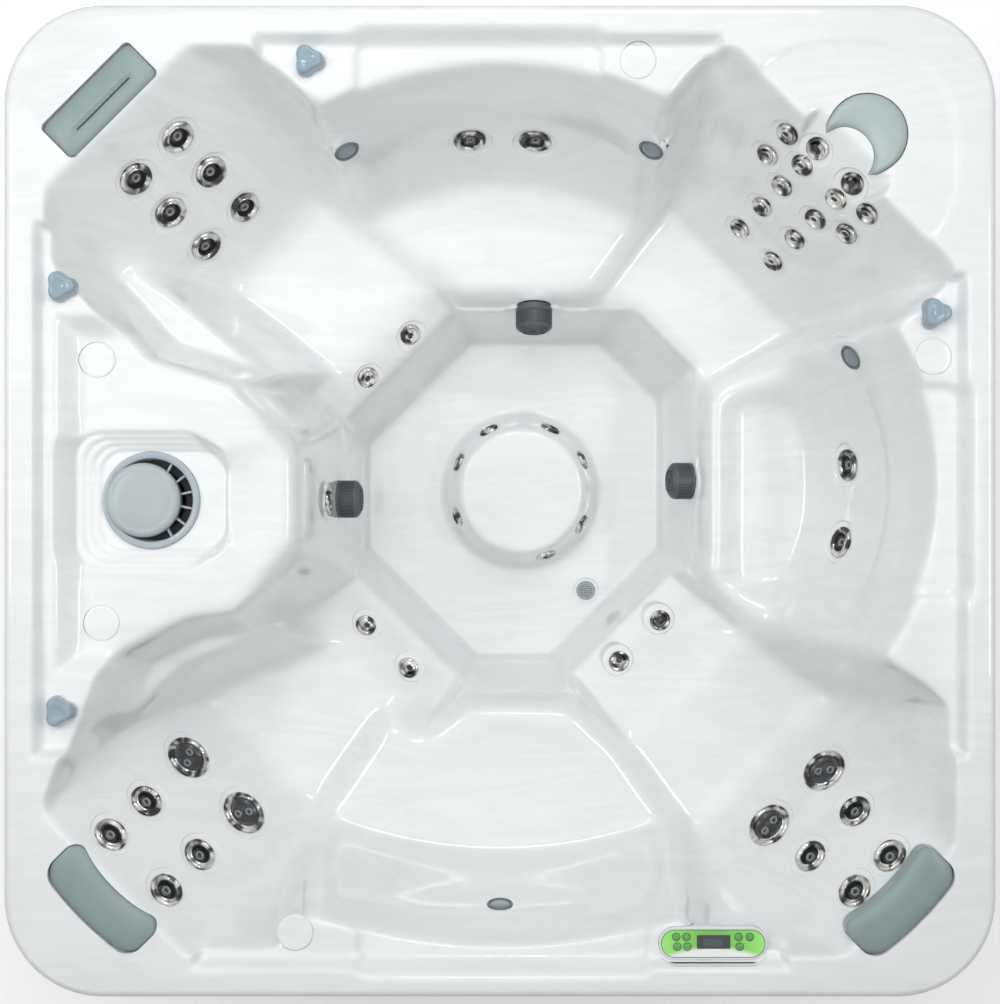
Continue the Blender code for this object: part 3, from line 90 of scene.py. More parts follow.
class Wiring:
    """A short way to wire up a node tree."""

    def __init__(self, tree: bpy.types.NodeTree) -> None:
        """Takes the tree to wire."""
        self.tree = tree

    def add(self, kind: str, **inputs: object) -> bpy.types.Node:
        """Adds a node.

        Args:
            kind: The node type, without its ShaderNode prefix.
            **inputs: Input values or links, by socket name with underscores for spaces.

        Returns:
            The new node.
        """
        node = self.tree.nodes.new("ShaderNode" + kind)
        for key, value in inputs.items():
            self.feed(node.inputs[key.replace("_", " ")], value)
        return node

    def feed(self, socket: Socket, value: object) -> None:
        """Links an output to a socket, or sets the socket's value.

        Args:
            socket: What takes the value.
            value: A link or a plain value.
        """
        if isinstance(value, Socket):
            self.tree.links.new(value, socket)
        else:
            socket.default_value = value

    def ramp(self, value: Socket, stops: list[tuple[float, Colour]]) -> Socket:
        """A colour ramp over a value.

        Args:
            value: What the ramp reads.
            stops: Positions with their colours.

        Returns:
            The ramp's colour.
        """
        node = self.add("ValToRGB", Fac=value)
        elements = node.color_ramp.elements
        while len(elements) < len(stops):
            elements.new(0.5)
        for element, (position, colour) in zip(elements, stops):
            element.position = position
            element.color = (*colour, 1.0)
        return node.outputs["Color"]

    def math(self, operation: str, *values: object) -> Socket:
        """One arithmetic step on two or three values.

        Args:
            operation: The node's operation.
            *values: Values or links.

        Returns:
            The result.
        """
        node = self.tree.nodes.new("ShaderNodeMath")
        node.operation = operation
        for socket, value in zip(node.inputs, values):
            self.feed(socket, value)
        return node.outputs[0]

    def mix(self, share: object, first: object, second: object) -> Socket:
        """A mix of two colours.

        Args:
            share: How much there is of the second colour.
            first: A colour or a link.
            second: A colour or a link.

        Returns:
            The mixed colour.
        """
        node = self.tree.nodes.new("ShaderNodeMix")
        node.data_type = "RGBA"
        self.feed(node.inputs["Factor"], share)
        self.feed(node.inputs[6], (*first, 1.0) if isinstance(first, tuple) else first)
        self.feed(node.inputs[7], (*second, 1.0) if isinstance(second, tuple) else second)
        return node.outputs[2]

    def bare_ray(self) -> Socket:
        """One for a ray from the camera or off a mirror, and nought for one that lights a surface.

        Returns:
            The factor.
        """
        path = self.add("LightPath")
        seen = path.outputs["Is Camera Ray"]
        for name in ("Is Glossy Ray", "Is Transmission Ray"):
            seen = self.math("MAXIMUM", seen, path.outputs[name])
        return seen


class Nodes(Wiring):
    """The node tree of one material, round its Principled shader."""

    def __init__(self, name: str) -> None:
        """Starts a material of the given name.

        Args:
            name: Its node's name.
        """
        self.material = bpy.data.materials.new(name)
        self.material.use_nodes = True
        super().__init__(self.material.node_tree)
        self.shader = self.tree.nodes["Principled BSDF"]
        self.place = self.add("TexCoord").outputs["Object"]

    def set(self, **values: float | tuple | Socket) -> Nodes:
        """Sets or links the shader's own sockets.

        Args:
            **values: Values or links, by socket name with underscores for spaces.

        Returns:
            These nodes.
        """
        for key, value in values.items():
            socket = self.shader.inputs[key.replace("_", " ")]
            plain_colour = socket.type == "RGBA" and isinstance(value, tuple)
            self.feed(socket, (*value, 1.0) if plain_colour else value)
        return self

    def stretched(self, scale: Point3, turn: float = 0.0) -> Socket:
        """The object's coordinates, turned about Z and stretched."""
        mapping = self.add("Mapping", Vector=self.place, Scale=scale, Rotation=(0, 0, turn))
        return mapping.outputs["Vector"]

    def noise(self, vector: Socket, scale: float, detail: float = 3.0, rough: float = 0.5,
              twist: float = 0.0) -> Socket:
        """A noise texture's value.

        Args:
            vector: Where it is read.
            scale: How fine it is.
            detail: How many octaves it has.
            rough: How strong the finer octaves are.
            twist: How far it is distorted.

        Returns:
            The value.
        """
        node = self.add(
            "TexNoise", Vector=vector, Scale=scale, Detail=detail, Roughness=rough, Distortion=twist,
        )
        return node.outputs["Fac"]

    def bump(self, height: Socket, strength: float, distance: float) -> Nodes:
        """Gives the shader a bump from a height."""
        node = self.add("Bump", Height=height, Strength=strength, Distance=distance)
        return self.set(Normal=node.outputs["Normal"])


@dataclass(frozen=True)
class Finish:
    """One plain moulded or painted finish, with a faint mottle in its colour and gloss."""

    name: str
    colour: Colour
    roughness: float = 0.4
    metallic: float = 0.0
    coat: float = 0.0
    grain: float = 220.0
    grain_depth: float = 0.00015
    variation: float = 0.06
    wear: float = 0.12

    def make(self) -> Material:
        """Builds the material.

        Returns:
            The material.
        """
        nodes = Nodes(self.name)
        fine = nodes.noise(nodes.place, self.grain, 2.0)
        broad = nodes.noise(nodes.place, 9.0, 4.0, 0.6)
        low, high = tinted(self.colour, 1 - self.variation), tinted(self.colour, 1 + self.variation)
        gloss = nodes.math("MULTIPLY_ADD", broad, self.wear, self.roughness - self.wear / 2)
        nodes.set(Base_Color=nodes.ramp(broad, [(0.35, low), (0.65, high)]), Roughness=gloss)
        nodes.set(Metallic=self.metallic, Coat_Weight=self.coat, Coat_Roughness=0.05)
        return nodes.bump(fine, 0.35, self.grain_depth).material


@dataclass(frozen=True)
class MarbledAcrylic:
    """White acrylic with faint grey streaks that run across it, under a deep gloss."""

    white: Colour = (0.775, 0.792, 0.797)
    streak: Colour = (0.60, 0.625, 0.635)
    turn: float = 0.35

    def make(self) -> Material:
        """Builds the material.

        Returns:
            The material.
        """
        nodes = Nodes("marbled_acrylic")
        flow = nodes.stretched((0.9, 4.2, 1.5), self.turn)
        bands = nodes.noise(flow, 2.1, 6.0, 0.62, 1.3)
        veins = nodes.ramp(bands, [(0.40, grey(0)), (0.50, grey(1)), (0.60, grey(0))])
        cloud = nodes.noise(nodes.stretched((1, 2.0, 1), -0.5), 1.7, 4.0, 0.5, 0.6)
        amount = nodes.math("MULTIPLY", veins, nodes.math("MULTIPLY", cloud, 0.42))
        nodes.set(Base_Color=nodes.mix(amount, self.white, self.streak))
        nodes.set(Roughness=0.16, Coat_Weight=1.0, Coat_Roughness=0.025, Coat_IOR=1.5)
        pull = nodes.noise(nodes.place, 5.0, 2.0)
        return nodes.bump(pull, 0.10, 0.0015).material


@dataclass(frozen=True)
class PillowSkin:
    """The satin closed-cell skin of a spa pillow, with a fine pebble and soft colour drift."""

    name: str = "pillow_skin"
    colour: Colour = (0.198, 0.262, 0.266)
    pale: Colour = (0.262, 0.332, 0.336)

    def make(self) -> Material:
        """Builds the material.

        Returns:
            The material.
        """
        nodes = Nodes(self.name)
        drift = nodes.noise(nodes.place, 11.0, 3.0, 0.5)
        nodes.set(Base_Color=nodes.mix(drift, self.colour, self.pale), Roughness=0.38)
        nodes.set(Sheen_Weight=0.25, Sheen_Roughness=0.4, Coat_Weight=0.25, Coat_Roughness=0.3)
        pebble = nodes.add("TexVoronoi", Vector=nodes.place, Scale=900.0)
        return nodes.bump(pebble.outputs["Distance"], 0.22, 0.0003).material


@dataclass(frozen=True)
class ChromeFinish:
    """Bright chrome with painted reflections, dark and bright streaks in its colour, and water spots."""

    name: str = "chrome"
    colour: Colour = (0.60, 0.585, 0.565)
    roughness: float = 0.07

    def make(self) -> Material:
        """Builds the material.

        Returns:
            The material.
        """
        nodes = Nodes(self.name)
        spots = nodes.noise(nodes.place, 260.0, 2.0, 0.6)
        # The dark and bright streaks in the colour are painted reflections of the surroundings.
        painted_reflections = nodes.noise(nodes.stretched((1.0, 1.0, 0.6), 0.5), 42.0, 0.0, 0.3, 0.6)
        reflection_tones = ((0.36, 0.10), (0.45, 0.45), (0.53, 1.0), (0.66, 1.25))
        tone = nodes.ramp(painted_reflections, [(position, tinted(self.colour, factor)) for position, factor in reflection_tones])
        colour = nodes.mix(nodes.math("MULTIPLY", spots, 0.12), tone, grey(0.2))
        rough = nodes.ramp(spots, [(0.3, grey(self.roughness)), (0.75, grey(self.roughness * 2.2))])
        return nodes.set(Base_Color=colour, Roughness=rough, Metallic=1.0).material


@dataclass(frozen=True)
class CabinetBoards:
    """Grey synthetic timber with long grain, darker in the pores."""

    pale: Colour = (0.235, 0.225, 0.215)
    dark: Colour = (0.125, 0.118, 0.112)
    run: Point3 = (1.3, 1.3, 42.0)

    def make(self) -> Material:
        """Builds the material.

        Returns:
            The material.
        """
        nodes = Nodes("cabinet_boards")
        grain = nodes.stretched(self.run)
        fibres = nodes.noise(grain, 3.2, 6.0, 0.65, 0.8)
        figure = nodes.noise(nodes.stretched((0.9, 0.9, 9.0)), 1.6, 3.0, 0.5, 1.2)
        tone = nodes.math("ADD", nodes.math("MULTIPLY", fibres, 0.65), nodes.math("MULTIPLY", figure, 0.35))
        colour = nodes.ramp(tone, [(0.36, self.dark), (0.62, self.pale)])
        rough = nodes.ramp(fibres, [(0.3, grey(0.62)), (0.7, grey(0.42))])
        return nodes.set(Base_Color=colour, Roughness=rough).bump(fibres, 0.5, 0.0012).material


@dataclass(frozen=True)
class PanelOverlay:
    """The topside control's film: light green at the ends, mid green at the top, a white sweep below."""

    centre: Point
    length: float
    width: float
    middle: Colour = (0.16, 0.50, 0.07)
    flank: Colour = (0.22, 0.66, 0.10)
    end: Colour = (0.36, 0.80, 0.20)
    white: Colour = (0.80, 0.83, 0.80)

    def make(self) -> Material:
        """Builds the material.

        Returns:
            The material.
        """
        nodes = Nodes("panel_overlay")
        mapping = nodes.add("Mapping", Vector=nodes.place, Location=(-self.centre[0], -self.centre[1], 0))
        split = nodes.add("SeparateXYZ", Vector=mapping.outputs["Vector"])
        across = nodes.math("DIVIDE", split.outputs["X"], self.length / 2)
        up = nodes.math("DIVIDE", split.outputs["Y"], self.width / 2)
        away = nodes.math("ABSOLUTE", across)
        green = nodes.ramp(away, [(0.15, self.middle), (0.60, self.flank), (1.0, self.end)])
        sweep = nodes.math("MULTIPLY_ADD", nodes.math("MULTIPLY", across, across), -0.75, -0.22)
        edge = nodes.math("SUBTRACT", sweep, up)
        share = nodes.ramp(nodes.math("MULTIPLY_ADD", edge, 1.6, 0.5), [(0.3, grey(0)), (0.75, grey(1))])
        grain = nodes.noise(nodes.place, 600.0, 1.0)
        nodes.set(Base_Color=nodes.mix(share, green, self.white))
        nodes.set(Roughness=0.22, Coat_Weight=0.6, Coat_Roughness=0.04)
        return nodes.bump(grain, 0.08, 0.0001).material


@dataclass(frozen=True)
class KnobResin:
    """Blue-grey resin that lets a little light through."""

    colour: Colour = (0.29, 0.395, 0.47)

    def make(self) -> Material:
        """Builds the material.

        Returns:
            The material.
        """
        nodes = Nodes("knob_resin")
        cloud = nodes.noise(nodes.place, 60.0, 3.0, 0.6)
        nodes.set(Base_Color=nodes.mix(cloud, self.colour, tinted(self.colour, 1.18)))
        nodes.set(Roughness=0.16, Coat_Weight=0.8, Coat_Roughness=0.03, Transmission_Weight=0.25, IOR=1.46)
        nodes.set(Subsurface_Weight=0.15, Subsurface_Radius=(0.004, 0.006, 0.008))
        return nodes.bump(cloud, 0.08, 0.0003).material


@dataclass(frozen=True)
class StudioWhite:
    """The floor's white, which keeps the object's shadow."""

    colour: Colour = (0.86, 0.86, 0.86)
    glow: float = 0.40

    def make(self) -> Material:
        """Builds the material, which shows white where the camera or a mirror sees it unshaded.

        Returns:
            The material.
        """
        nodes = Nodes("studio_floor")
        haze = nodes.noise(nodes.place, 1.5, 2.0)
        nodes.set(Base_Color=nodes.mix(haze, self.colour, tinted(self.colour, 0.985)), Roughness=0.75)
        glow = nodes.math("MULTIPLY", nodes.bare_ray(), self.glow)
        return nodes.set(Emission_Color=(1.0, 1.0, 1.0), Emission_Strength=glow).material


class Palette:
    """All the finishes, made once each."""

    def __init__(self, panel_centre: Point, panel_size: Point) -> None:
        """Makes every finish.

        Args:
            panel_centre: Middle of the topside control.
            panel_size: Its length and width.
        """
        self.acrylic = MarbledAcrylic().make()
        self.chrome = ChromeFinish().make()
        self.steel = ChromeFinish("satin_steel", (0.55, 0.55, 0.55), 0.22).make()
        # Also carries painted shade: the discs in the small jets' eyes, the plugs down the medium jets'
        # nozzles, the disc behind the suction bars and the drain's hole discs.
        self.black = Finish("black_plastic_and_painted_shade", (0.012, 0.013, 0.014), 0.22, coat=0.5).make()
        # Also carries painted shade: the plugs down the rotors' nozzles.
        self.graphite = Finish("graphite_plastic_and_painted_shade", (0.022, 0.024, 0.027), 0.24, coat=0.4).make()
        self.nozzle = Finish("nozzle_grey", (0.20, 0.225, 0.24), 0.25, coat=0.4).make()
        self.slate = Finish("slate_plastic", (0.065, 0.078, 0.085), 0.36, grain=420.0).make()
        self.lens = Finish("frosted_lens", (0.20, 0.245, 0.275), 0.20, coat=0.6).make()
        self.lens_ring = Finish("lens_ring_grey", (0.10, 0.12, 0.135), 0.25, coat=0.5).make()
        self.lid = Finish("lid_grey", (0.385, 0.43, 0.44), 0.30, grain=500.0, variation=0.03).make()
        self.collar = Finish("collar_grey", (0.34, 0.39, 0.43), 0.22, coat=0.5).make()
        self.drain = Finish("drain_grey", (0.30, 0.34, 0.35), 0.35).make()
        self.knob = KnobResin().make()
        self.pillow = PillowSkin().make()
        self.pale_pillow = PillowSkin("pale_pillow_skin", (0.315, 0.395, 0.385), (0.42, 0.50, 0.485)).make()
        # A flat black for painted shade: the pillow's waterfall slot, the filter's gap, the cartridge's bore
        # and the control's shadow lines.
        self.slot = Finish("painted_shade_black", (0.010, 0.010, 0.012), 0.5).make()
        self.boards = CabinetBoards().make()
        trim, black = (0.075, 0.072, 0.07), (0.022, 0.022, 0.024)
        self.trim = Finish("cabinet_trim", trim, 0.5, grain=260.0, grain_depth=0.0003).make()
        self.pan = Finish("base_pan_black", black, 0.6, grain=120.0, grain_depth=0.0004).make()
        self.pvc = Finish("white_pvc", (0.72, 0.72, 0.69), 0.34, variation=0.04).make()
        self.motor = Finish("motor_paint", (0.035, 0.04, 0.045), 0.42, coat=0.2).make()
        self.pack = Finish("pack_shell", (0.30, 0.31, 0.32), 0.5, grain=300.0).make()
        self.paper = Finish("pleated_paper", (0.80, 0.79, 0.74), 0.9, grain=500.0).make()
        self.bezel = Finish("panel_bezel", (0.66, 0.69, 0.72), 0.20, coat=0.8, variation=0.03).make()
        self.window = Finish("panel_window", (0.006, 0.007, 0.007), 0.08, coat=1.0).make()
        self.display = Finish("panel_display", (0.012, 0.055, 0.035), 0.12, coat=1.0).make()
        self.button = Finish("button_green", (0.10, 0.32, 0.08), 0.25, coat=0.7).make()
        self.overlay = PanelOverlay(panel_centre, panel_size[0], panel_size[1]).make()
        self.floor = StudioWhite().make()


class Shape:
    """A bmesh with the few operations that the pieces share."""

    def __init__(self) -> None:
        """Starts an empty shape."""
        self.bm = bmesh.new()

    @classmethod
    def cylinder(cls, radius: float, low: float, high: float, sides: int, top: float | None = None) -> Shape:
        """A closed cylinder or cone along Z.

        Args:
            radius: Radius at the lower end.
            low: Height of the lower end.
            high: Height of the upper end.
            sides: Number of sides.
            top: Radius at the upper end, if it differs.

        Returns:
            The shape.
        """
        shape = cls()
        bmesh.ops.create_cone(
            shape.bm, cap_ends=True, segments=sides, radius1=radius, radius2=radius if top is None else top,
            depth=high - low,
        )
        bmesh.ops.translate(shape.bm, verts=shape.bm.verts, vec=(0, 0, (low + high) / 2))
        return shape

    @classmethod
    def box(cls, size: tuple, centre: tuple) -> Shape:
        """A closed box of a size about a centre.

        Args:
            size: Its lengths along X, Y and Z.
            centre: Its middle.

        Returns:
            The shape.
        """
        shape = cls()
        bmesh.ops.create_cube(shape.bm, size=1)
        bmesh.ops.scale(shape.bm, verts=shape.bm.verts, vec=size)
        bmesh.ops.translate(shape.bm, verts=shape.bm.verts, vec=centre)
        return shape

    @classmethod
    def turned(cls, profile: list[Point], sides: int) -> Shape:
        """A closed body turned about Z.

        Args:
            profile: (radius, height) points round the section.
            sides: Steps in the full turn.

        Returns:
            The shape.
        """
        shape = cls()
        points = [shape.bm.verts.new((r, 0, z)) for r, z in profile]
        pairs = zip(points, points[1:] + points[:1])
        edges = [shape.bm.edges.new(pair) for pair in pairs if pair[0].co.x or pair[1].co.x]
        bmesh.ops.spin(
            shape.bm, geom=points + edges, cent=(0, 0, 0), axis=(0, 0, 1), angle=math.tau, steps=sides,
            use_merge=True,
        )
        bmesh.ops.remove_doubles(shape.bm, verts=shape.bm.verts, dist=1e-6)
        return shape

    @classmethod
    def outline(cls, points: list[Point], low: float, high: float) -> Shape:
        """A prism on an outline, made by extruding one face.

        Args:
            points: The outline, in order.
            low: Height of its lower end.
            high: Height of its upper end.

        Returns:
            The shape.
        """
        shape = cls()
        ring = [shape.bm.verts.new((x, y, low)) for x, y in points]
        face = shape.bm.faces.new(ring)
        made = bmesh.ops.extrude_face_region(shape.bm, geom=[face])["geom"]
        top = [g for g in made if isinstance(g, bmesh.types.BMVert)]
        bmesh.ops.translate(shape.bm, verts=top, vec=(0, 0, high - low))
        return shape

    def bevel(self, width: float, segments: int, angle: float = 35.0) -> Shape:
        """Rounds the edges that are sharper than an angle, and returns the shape.

        Args:
            width: How wide the rounding is.
            segments: Its steps.
            angle: The angle above which an edge is rounded, in degrees.

        Returns:
            This shape.
        """
        bmesh.ops.recalc_face_normals(self.bm, faces=self.bm.faces)
        sharp = [e for e in self.bm.edges if e.is_manifold and math.degrees(e.calc_face_angle(0.0)) > angle]
        bmesh.ops.bevel(
            self.bm, geom=sharp, offset=width, segments=segments, profile=0.5, affect="EDGES", material=-1,
            clamp_overlap=True,
        )
        return self

    def moved(self, matrix: Matrix) -> Shape:
        """Moves the whole shape by a matrix and returns it."""
        bmesh.ops.transform(self.bm, matrix=matrix, verts=self.bm.verts)
        return self

    def painted(self, slot: int) -> Shape:
        """Gives every face one material slot and returns the shape.

        Args:
            slot: The slot's number.

        Returns:
            This shape.
        """
        for face in self.bm.faces:
            face.material_index = slot
        return self

    def join(self, other: Shape) -> Shape:
        """Takes in another shape's faces, and returns this shape.

        Args:
            other: The shape to take in, which is used up.

        Returns:
            This shape.
        """
        carried = bpy.data.meshes.new("carried")
        other.bm.to_mesh(carried)
        other.bm.free()
        self.bm.from_mesh(carried)
        bpy.data.meshes.remove(carried)
        return self

    def finish(
        self, name: str, materials: list[Material], body: str | None = TUB, *, matrix: Matrix | None = None,
        smooth: float = 38.0, replaces: tuple[str, ...] = (),
    ) -> bpy.types.Object:
        """Makes the shape a piece of the scene.

        Args:
            name: The piece's name.
            materials: Its materials, by slot.
            body: The body it rides on, or None for a cutter.
            matrix: Where it goes; it is applied to the mesh.
            smooth: The angle under which edges are smooth, in degrees.
            replaces: The frame's nodes that it stands for.

        Returns:
            The new object.
        """
        if matrix is not None:
            self.moved(matrix)
        bmesh.ops.recalc_face_normals(self.bm, faces=self.bm.faces)
        mesh = bpy.data.meshes.new(name)
        self.bm.to_mesh(mesh)
        self.bm.free()
        mesh.shade_smooth()
        mesh.set_sharp_from_angle(angle=math.radians(smooth))
        for material in materials:
            mesh.materials.append(material)
        thing = bpy.data.objects.new(name, mesh)
        bpy.context.scene.collection.objects.link(thing)
        if body is not None:
            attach(thing, body)
            LOG.info("%s: %d faces on %s", name, len(mesh.polygons), body)
        if replaces:
            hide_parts(*replaces)
        return thing


def full_turn(count: int, start: float = 0.0) -> list[Matrix]:
    """Even steps of a full turn about Z, the first of them a share of a step on."""
    return [Matrix.Rotation(math.tau * (index + start) / count, 4, "Z") for index in range(count)]


def moved_to(x: float, y: float, z: float = 0.0) -> Matrix:
    """A move without a turn."""
    return Matrix.Translation((x, y, z))


def leaned(degrees: float, axis: str) -> Matrix:
    """A turn by so many degrees about an axis."""
    return Matrix.Rotation(math.radians(degrees), 4, axis)


def millimetres(*profile: Point) -> list[Point]:
    """A profile given in millimetres, in metres."""
    return [(reach / 1000, height / 1000) for reach, height in profile]


def rings(radius: float, *profile: Point) -> list[Point]:
    """A profile given in shares of a radius and millimetres, in metres."""
    return [(share * radius, height / 1000) for share, height in profile]


def rounded_outline(half_x: float, half_y: float, corner: float, steps: int = 10) -> list[Point]:
    """Points round a rectangle with rounded corners.

    Args:
        half_x: Half its size along X.
        half_y: Half its size along Y.
        corner: Radius of its corners.
        steps: Steps in each corner.

    Returns:
        The points, in order.
    """
    points = []
    for quarter, (side_x, side_y) in enumerate(((1, 1), (-1, 1), (-1, -1), (1, -1))):
        centre = (side_x * (half_x - corner), side_y * (half_y - corner))
        for step in range(steps + 1):
            angle = math.pi / 2 * (quarter + step / steps)
            points.append((centre[0] + corner * math.cos(angle), centre[1] + corner * math.sin(angle)))
    return points


def tube(points: list[Vector], radius: float, sides: int) -> Shape:
    """Straight pipe lengths along a line of points, with a round joint at each turn.

    Args:
        points: The centres of the ends and turns.
        radius: The pipe's radius.
        sides: Sides of the pipe.

    Returns:
        The shape.
    """
    shape = Shape()
    for first, second in zip(points, points[1:]):
        run = second - first
        turn = run.to_track_quat("Z", "Y").to_matrix().to_4x4()
        shape.join(Shape.cylinder(radius, 0, run.length, sides).moved(Matrix.Translation(first) @ turn))
    for place in points[1:-1]:
        ball, rows = Shape(), max(6, sides // 2)
        bmesh.ops.create_uvsphere(ball.bm, u_segments=sides, v_segments=rows, radius=radius * 1.18)
        shape.join(ball.moved(Matrix.Translation(place)))
    return shape


# The corner seats: outward direction, seat level, distance of the backrest's foot and top from the middle
SEATS: dict[str, tuple[Point, float, float, float]] = {
    "top_left": ((-DIAGONAL, DIAGONAL), 0.40, 0.845, 1.165),
    "top_right": ((DIAGONAL, DIAGONAL), 0.38, 0.827, 1.050),
    "bottom_right": ((DIAGONAL, -DIAGONAL), 0.40, 0.925, 1.215),
    "bottom_left": ((-DIAGONAL, -DIAGONAL), 0.40, 0.864, 1.165),
}
# Lines in plan where a corner seat parts from the bench beside it
DIVIDERS: dict[str, Line] = {
    "far_left": ((-0.446, 0.796), (-0.234, 0.604)), "far_right": ((0.436, 0.796), (0.270, 0.570)),
    "right_far": ((0.820, 0.440), (0.600, 0.320)), "right_near": ((0.628, -0.310), (0.830, -0.440)),
    "near_right": ((0.298, -0.616), (0.500, -0.900)), "near_left": ((-0.271, -0.525), (-0.500, -0.855)),
}
# The arcs that the benches' backs follow: centre, radius at the bench's level, slope
BACK_ARCS: dict[str, tuple[Point, float, float]] = {
    "far": ((0.0, 0.14), 0.652, 2.72),
    "right": ((0.31, 0.04), 0.491, 2.82),
    "near": ((0.0, 0.251), 1.131, 5.6),
}
# How far out on its seat's diagonal the crescent pillow's outer and inner circles have their middles
CRESCENT_OUTER, CRESCENT_HOLLOW = 1.115, 1.040
PILLOW_DISTANCE: dict[str, float] = {"top_left": 1.215, "bottom_right": 1.217, "bottom_left": 1.210}
KNOBS: dict[str, Point] = {
    "far_knob": (-0.413, 0.950), "right_knob": (0.939, 0.405),
    "left_far_knob": (-0.946, 0.463), "left_near_knob": (-0.950, -0.454),
}
DOME_CENTRE: Point = (0.056, 0.027)
FILTER_CENTRE: Point = (-0.775, 0.002)


def soft_max(softness: float, *heights: Array) -> Array:
    """The highest of some heights, with the corner between them rounded."""
    top = np.maximum.reduce(heights)
    return top + softness * np.log(sum(np.exp((h - top) / softness) for h in heights))


def soft_min(softness: float, *heights: Array) -> Array:
    """The lowest of some heights, with the corner between them rounded."""
    return -soft_max(softness, *[-h for h in heights])


def plan_wall(x: Array, y: Array, line: Line, level: float, slope: float, inside: Point) -> Array:
    """A sloping wall over the plan.

    Args:
        x: Plan coordinates.
        y: Plan coordinates.
        line: Two points of the line where the wall has its level.
        level: The height along the line.
        slope: How steeply it rises outwards.
        inside: A point on the low side.

    Returns:
        The wall's height.
    """
    (ax, ay), (bx, by) = line
    length = math.hypot(bx - ax, by - ay)
    normal = ((by - ay) / length, (ax - bx) / length)
    side = (inside[0] - ax) * normal[0] + (inside[1] - ay) * normal[1]
    sign = -1.0 if side > 0 else 1.0
    return level + slope * sign * ((x - ax) * normal[0] + (y - ay) * normal[1])


def arc_wall(x: Array, y: Array, bench: str, level: float) -> Array:
    """The curved wall behind a bench."""
    centre, radius, slope = BACK_ARCS[bench]
    return level + slope * (np.hypot(x - centre[0], y - centre[1]) - radius)


def round_box(x: Array, y: Array, low: Point, high: Point, corner: float) -> Array:
    """Signed distance from a rectangle with rounded corners, negative inside.

    Args:
        x: Plan coordinates.
        y: Plan coordinates.
        low: The rectangle's low corner.
        high: Its high corner.
        corner: Radius of its corners.

    Returns:
        The distances.
    """
    u = np.abs(x - (low[0] + high[0]) / 2) - (high[0] - low[0]) / 2 + corner
    v = np.abs(y - (low[1] + high[1]) / 2) - (high[1] - low[1]) / 2 + corner
    return np.minimum(np.maximum(u, v), 0) + np.hypot(np.maximum(u, 0), np.maximum(v, 0)) - corner


def round_corners(x: Array, y: Array, half: Point, corner: float) -> tuple[Array, Array]:
    """Pulls the corners of a rectangular grid in, so that its outline is a rounded rectangle.

    Args:
        x: Plan coordinates.
        y: Plan coordinates.
        half: Half the rectangle's sizes.
        corner: Radius of its corners.

    Returns:
        The new coordinates.
    """
    middle = (half[0] - corner, half[1] - corner)
    s = np.clip((abs(x) - middle[0]) / corner, 0, 1)
    t = np.clip((abs(y) - middle[1]) / corner, 0, 1)
    inside = (s > 0) & (t > 0)
    round_x = np.sign(x) * (middle[0] + corner * s * np.sqrt(1 - t * t / 2))
    round_y = np.sign(y) * (middle[1] + corner * t * np.sqrt(1 - s * s / 2))
    return np.where(inside, round_x, x), np.where(inside, round_y, y)


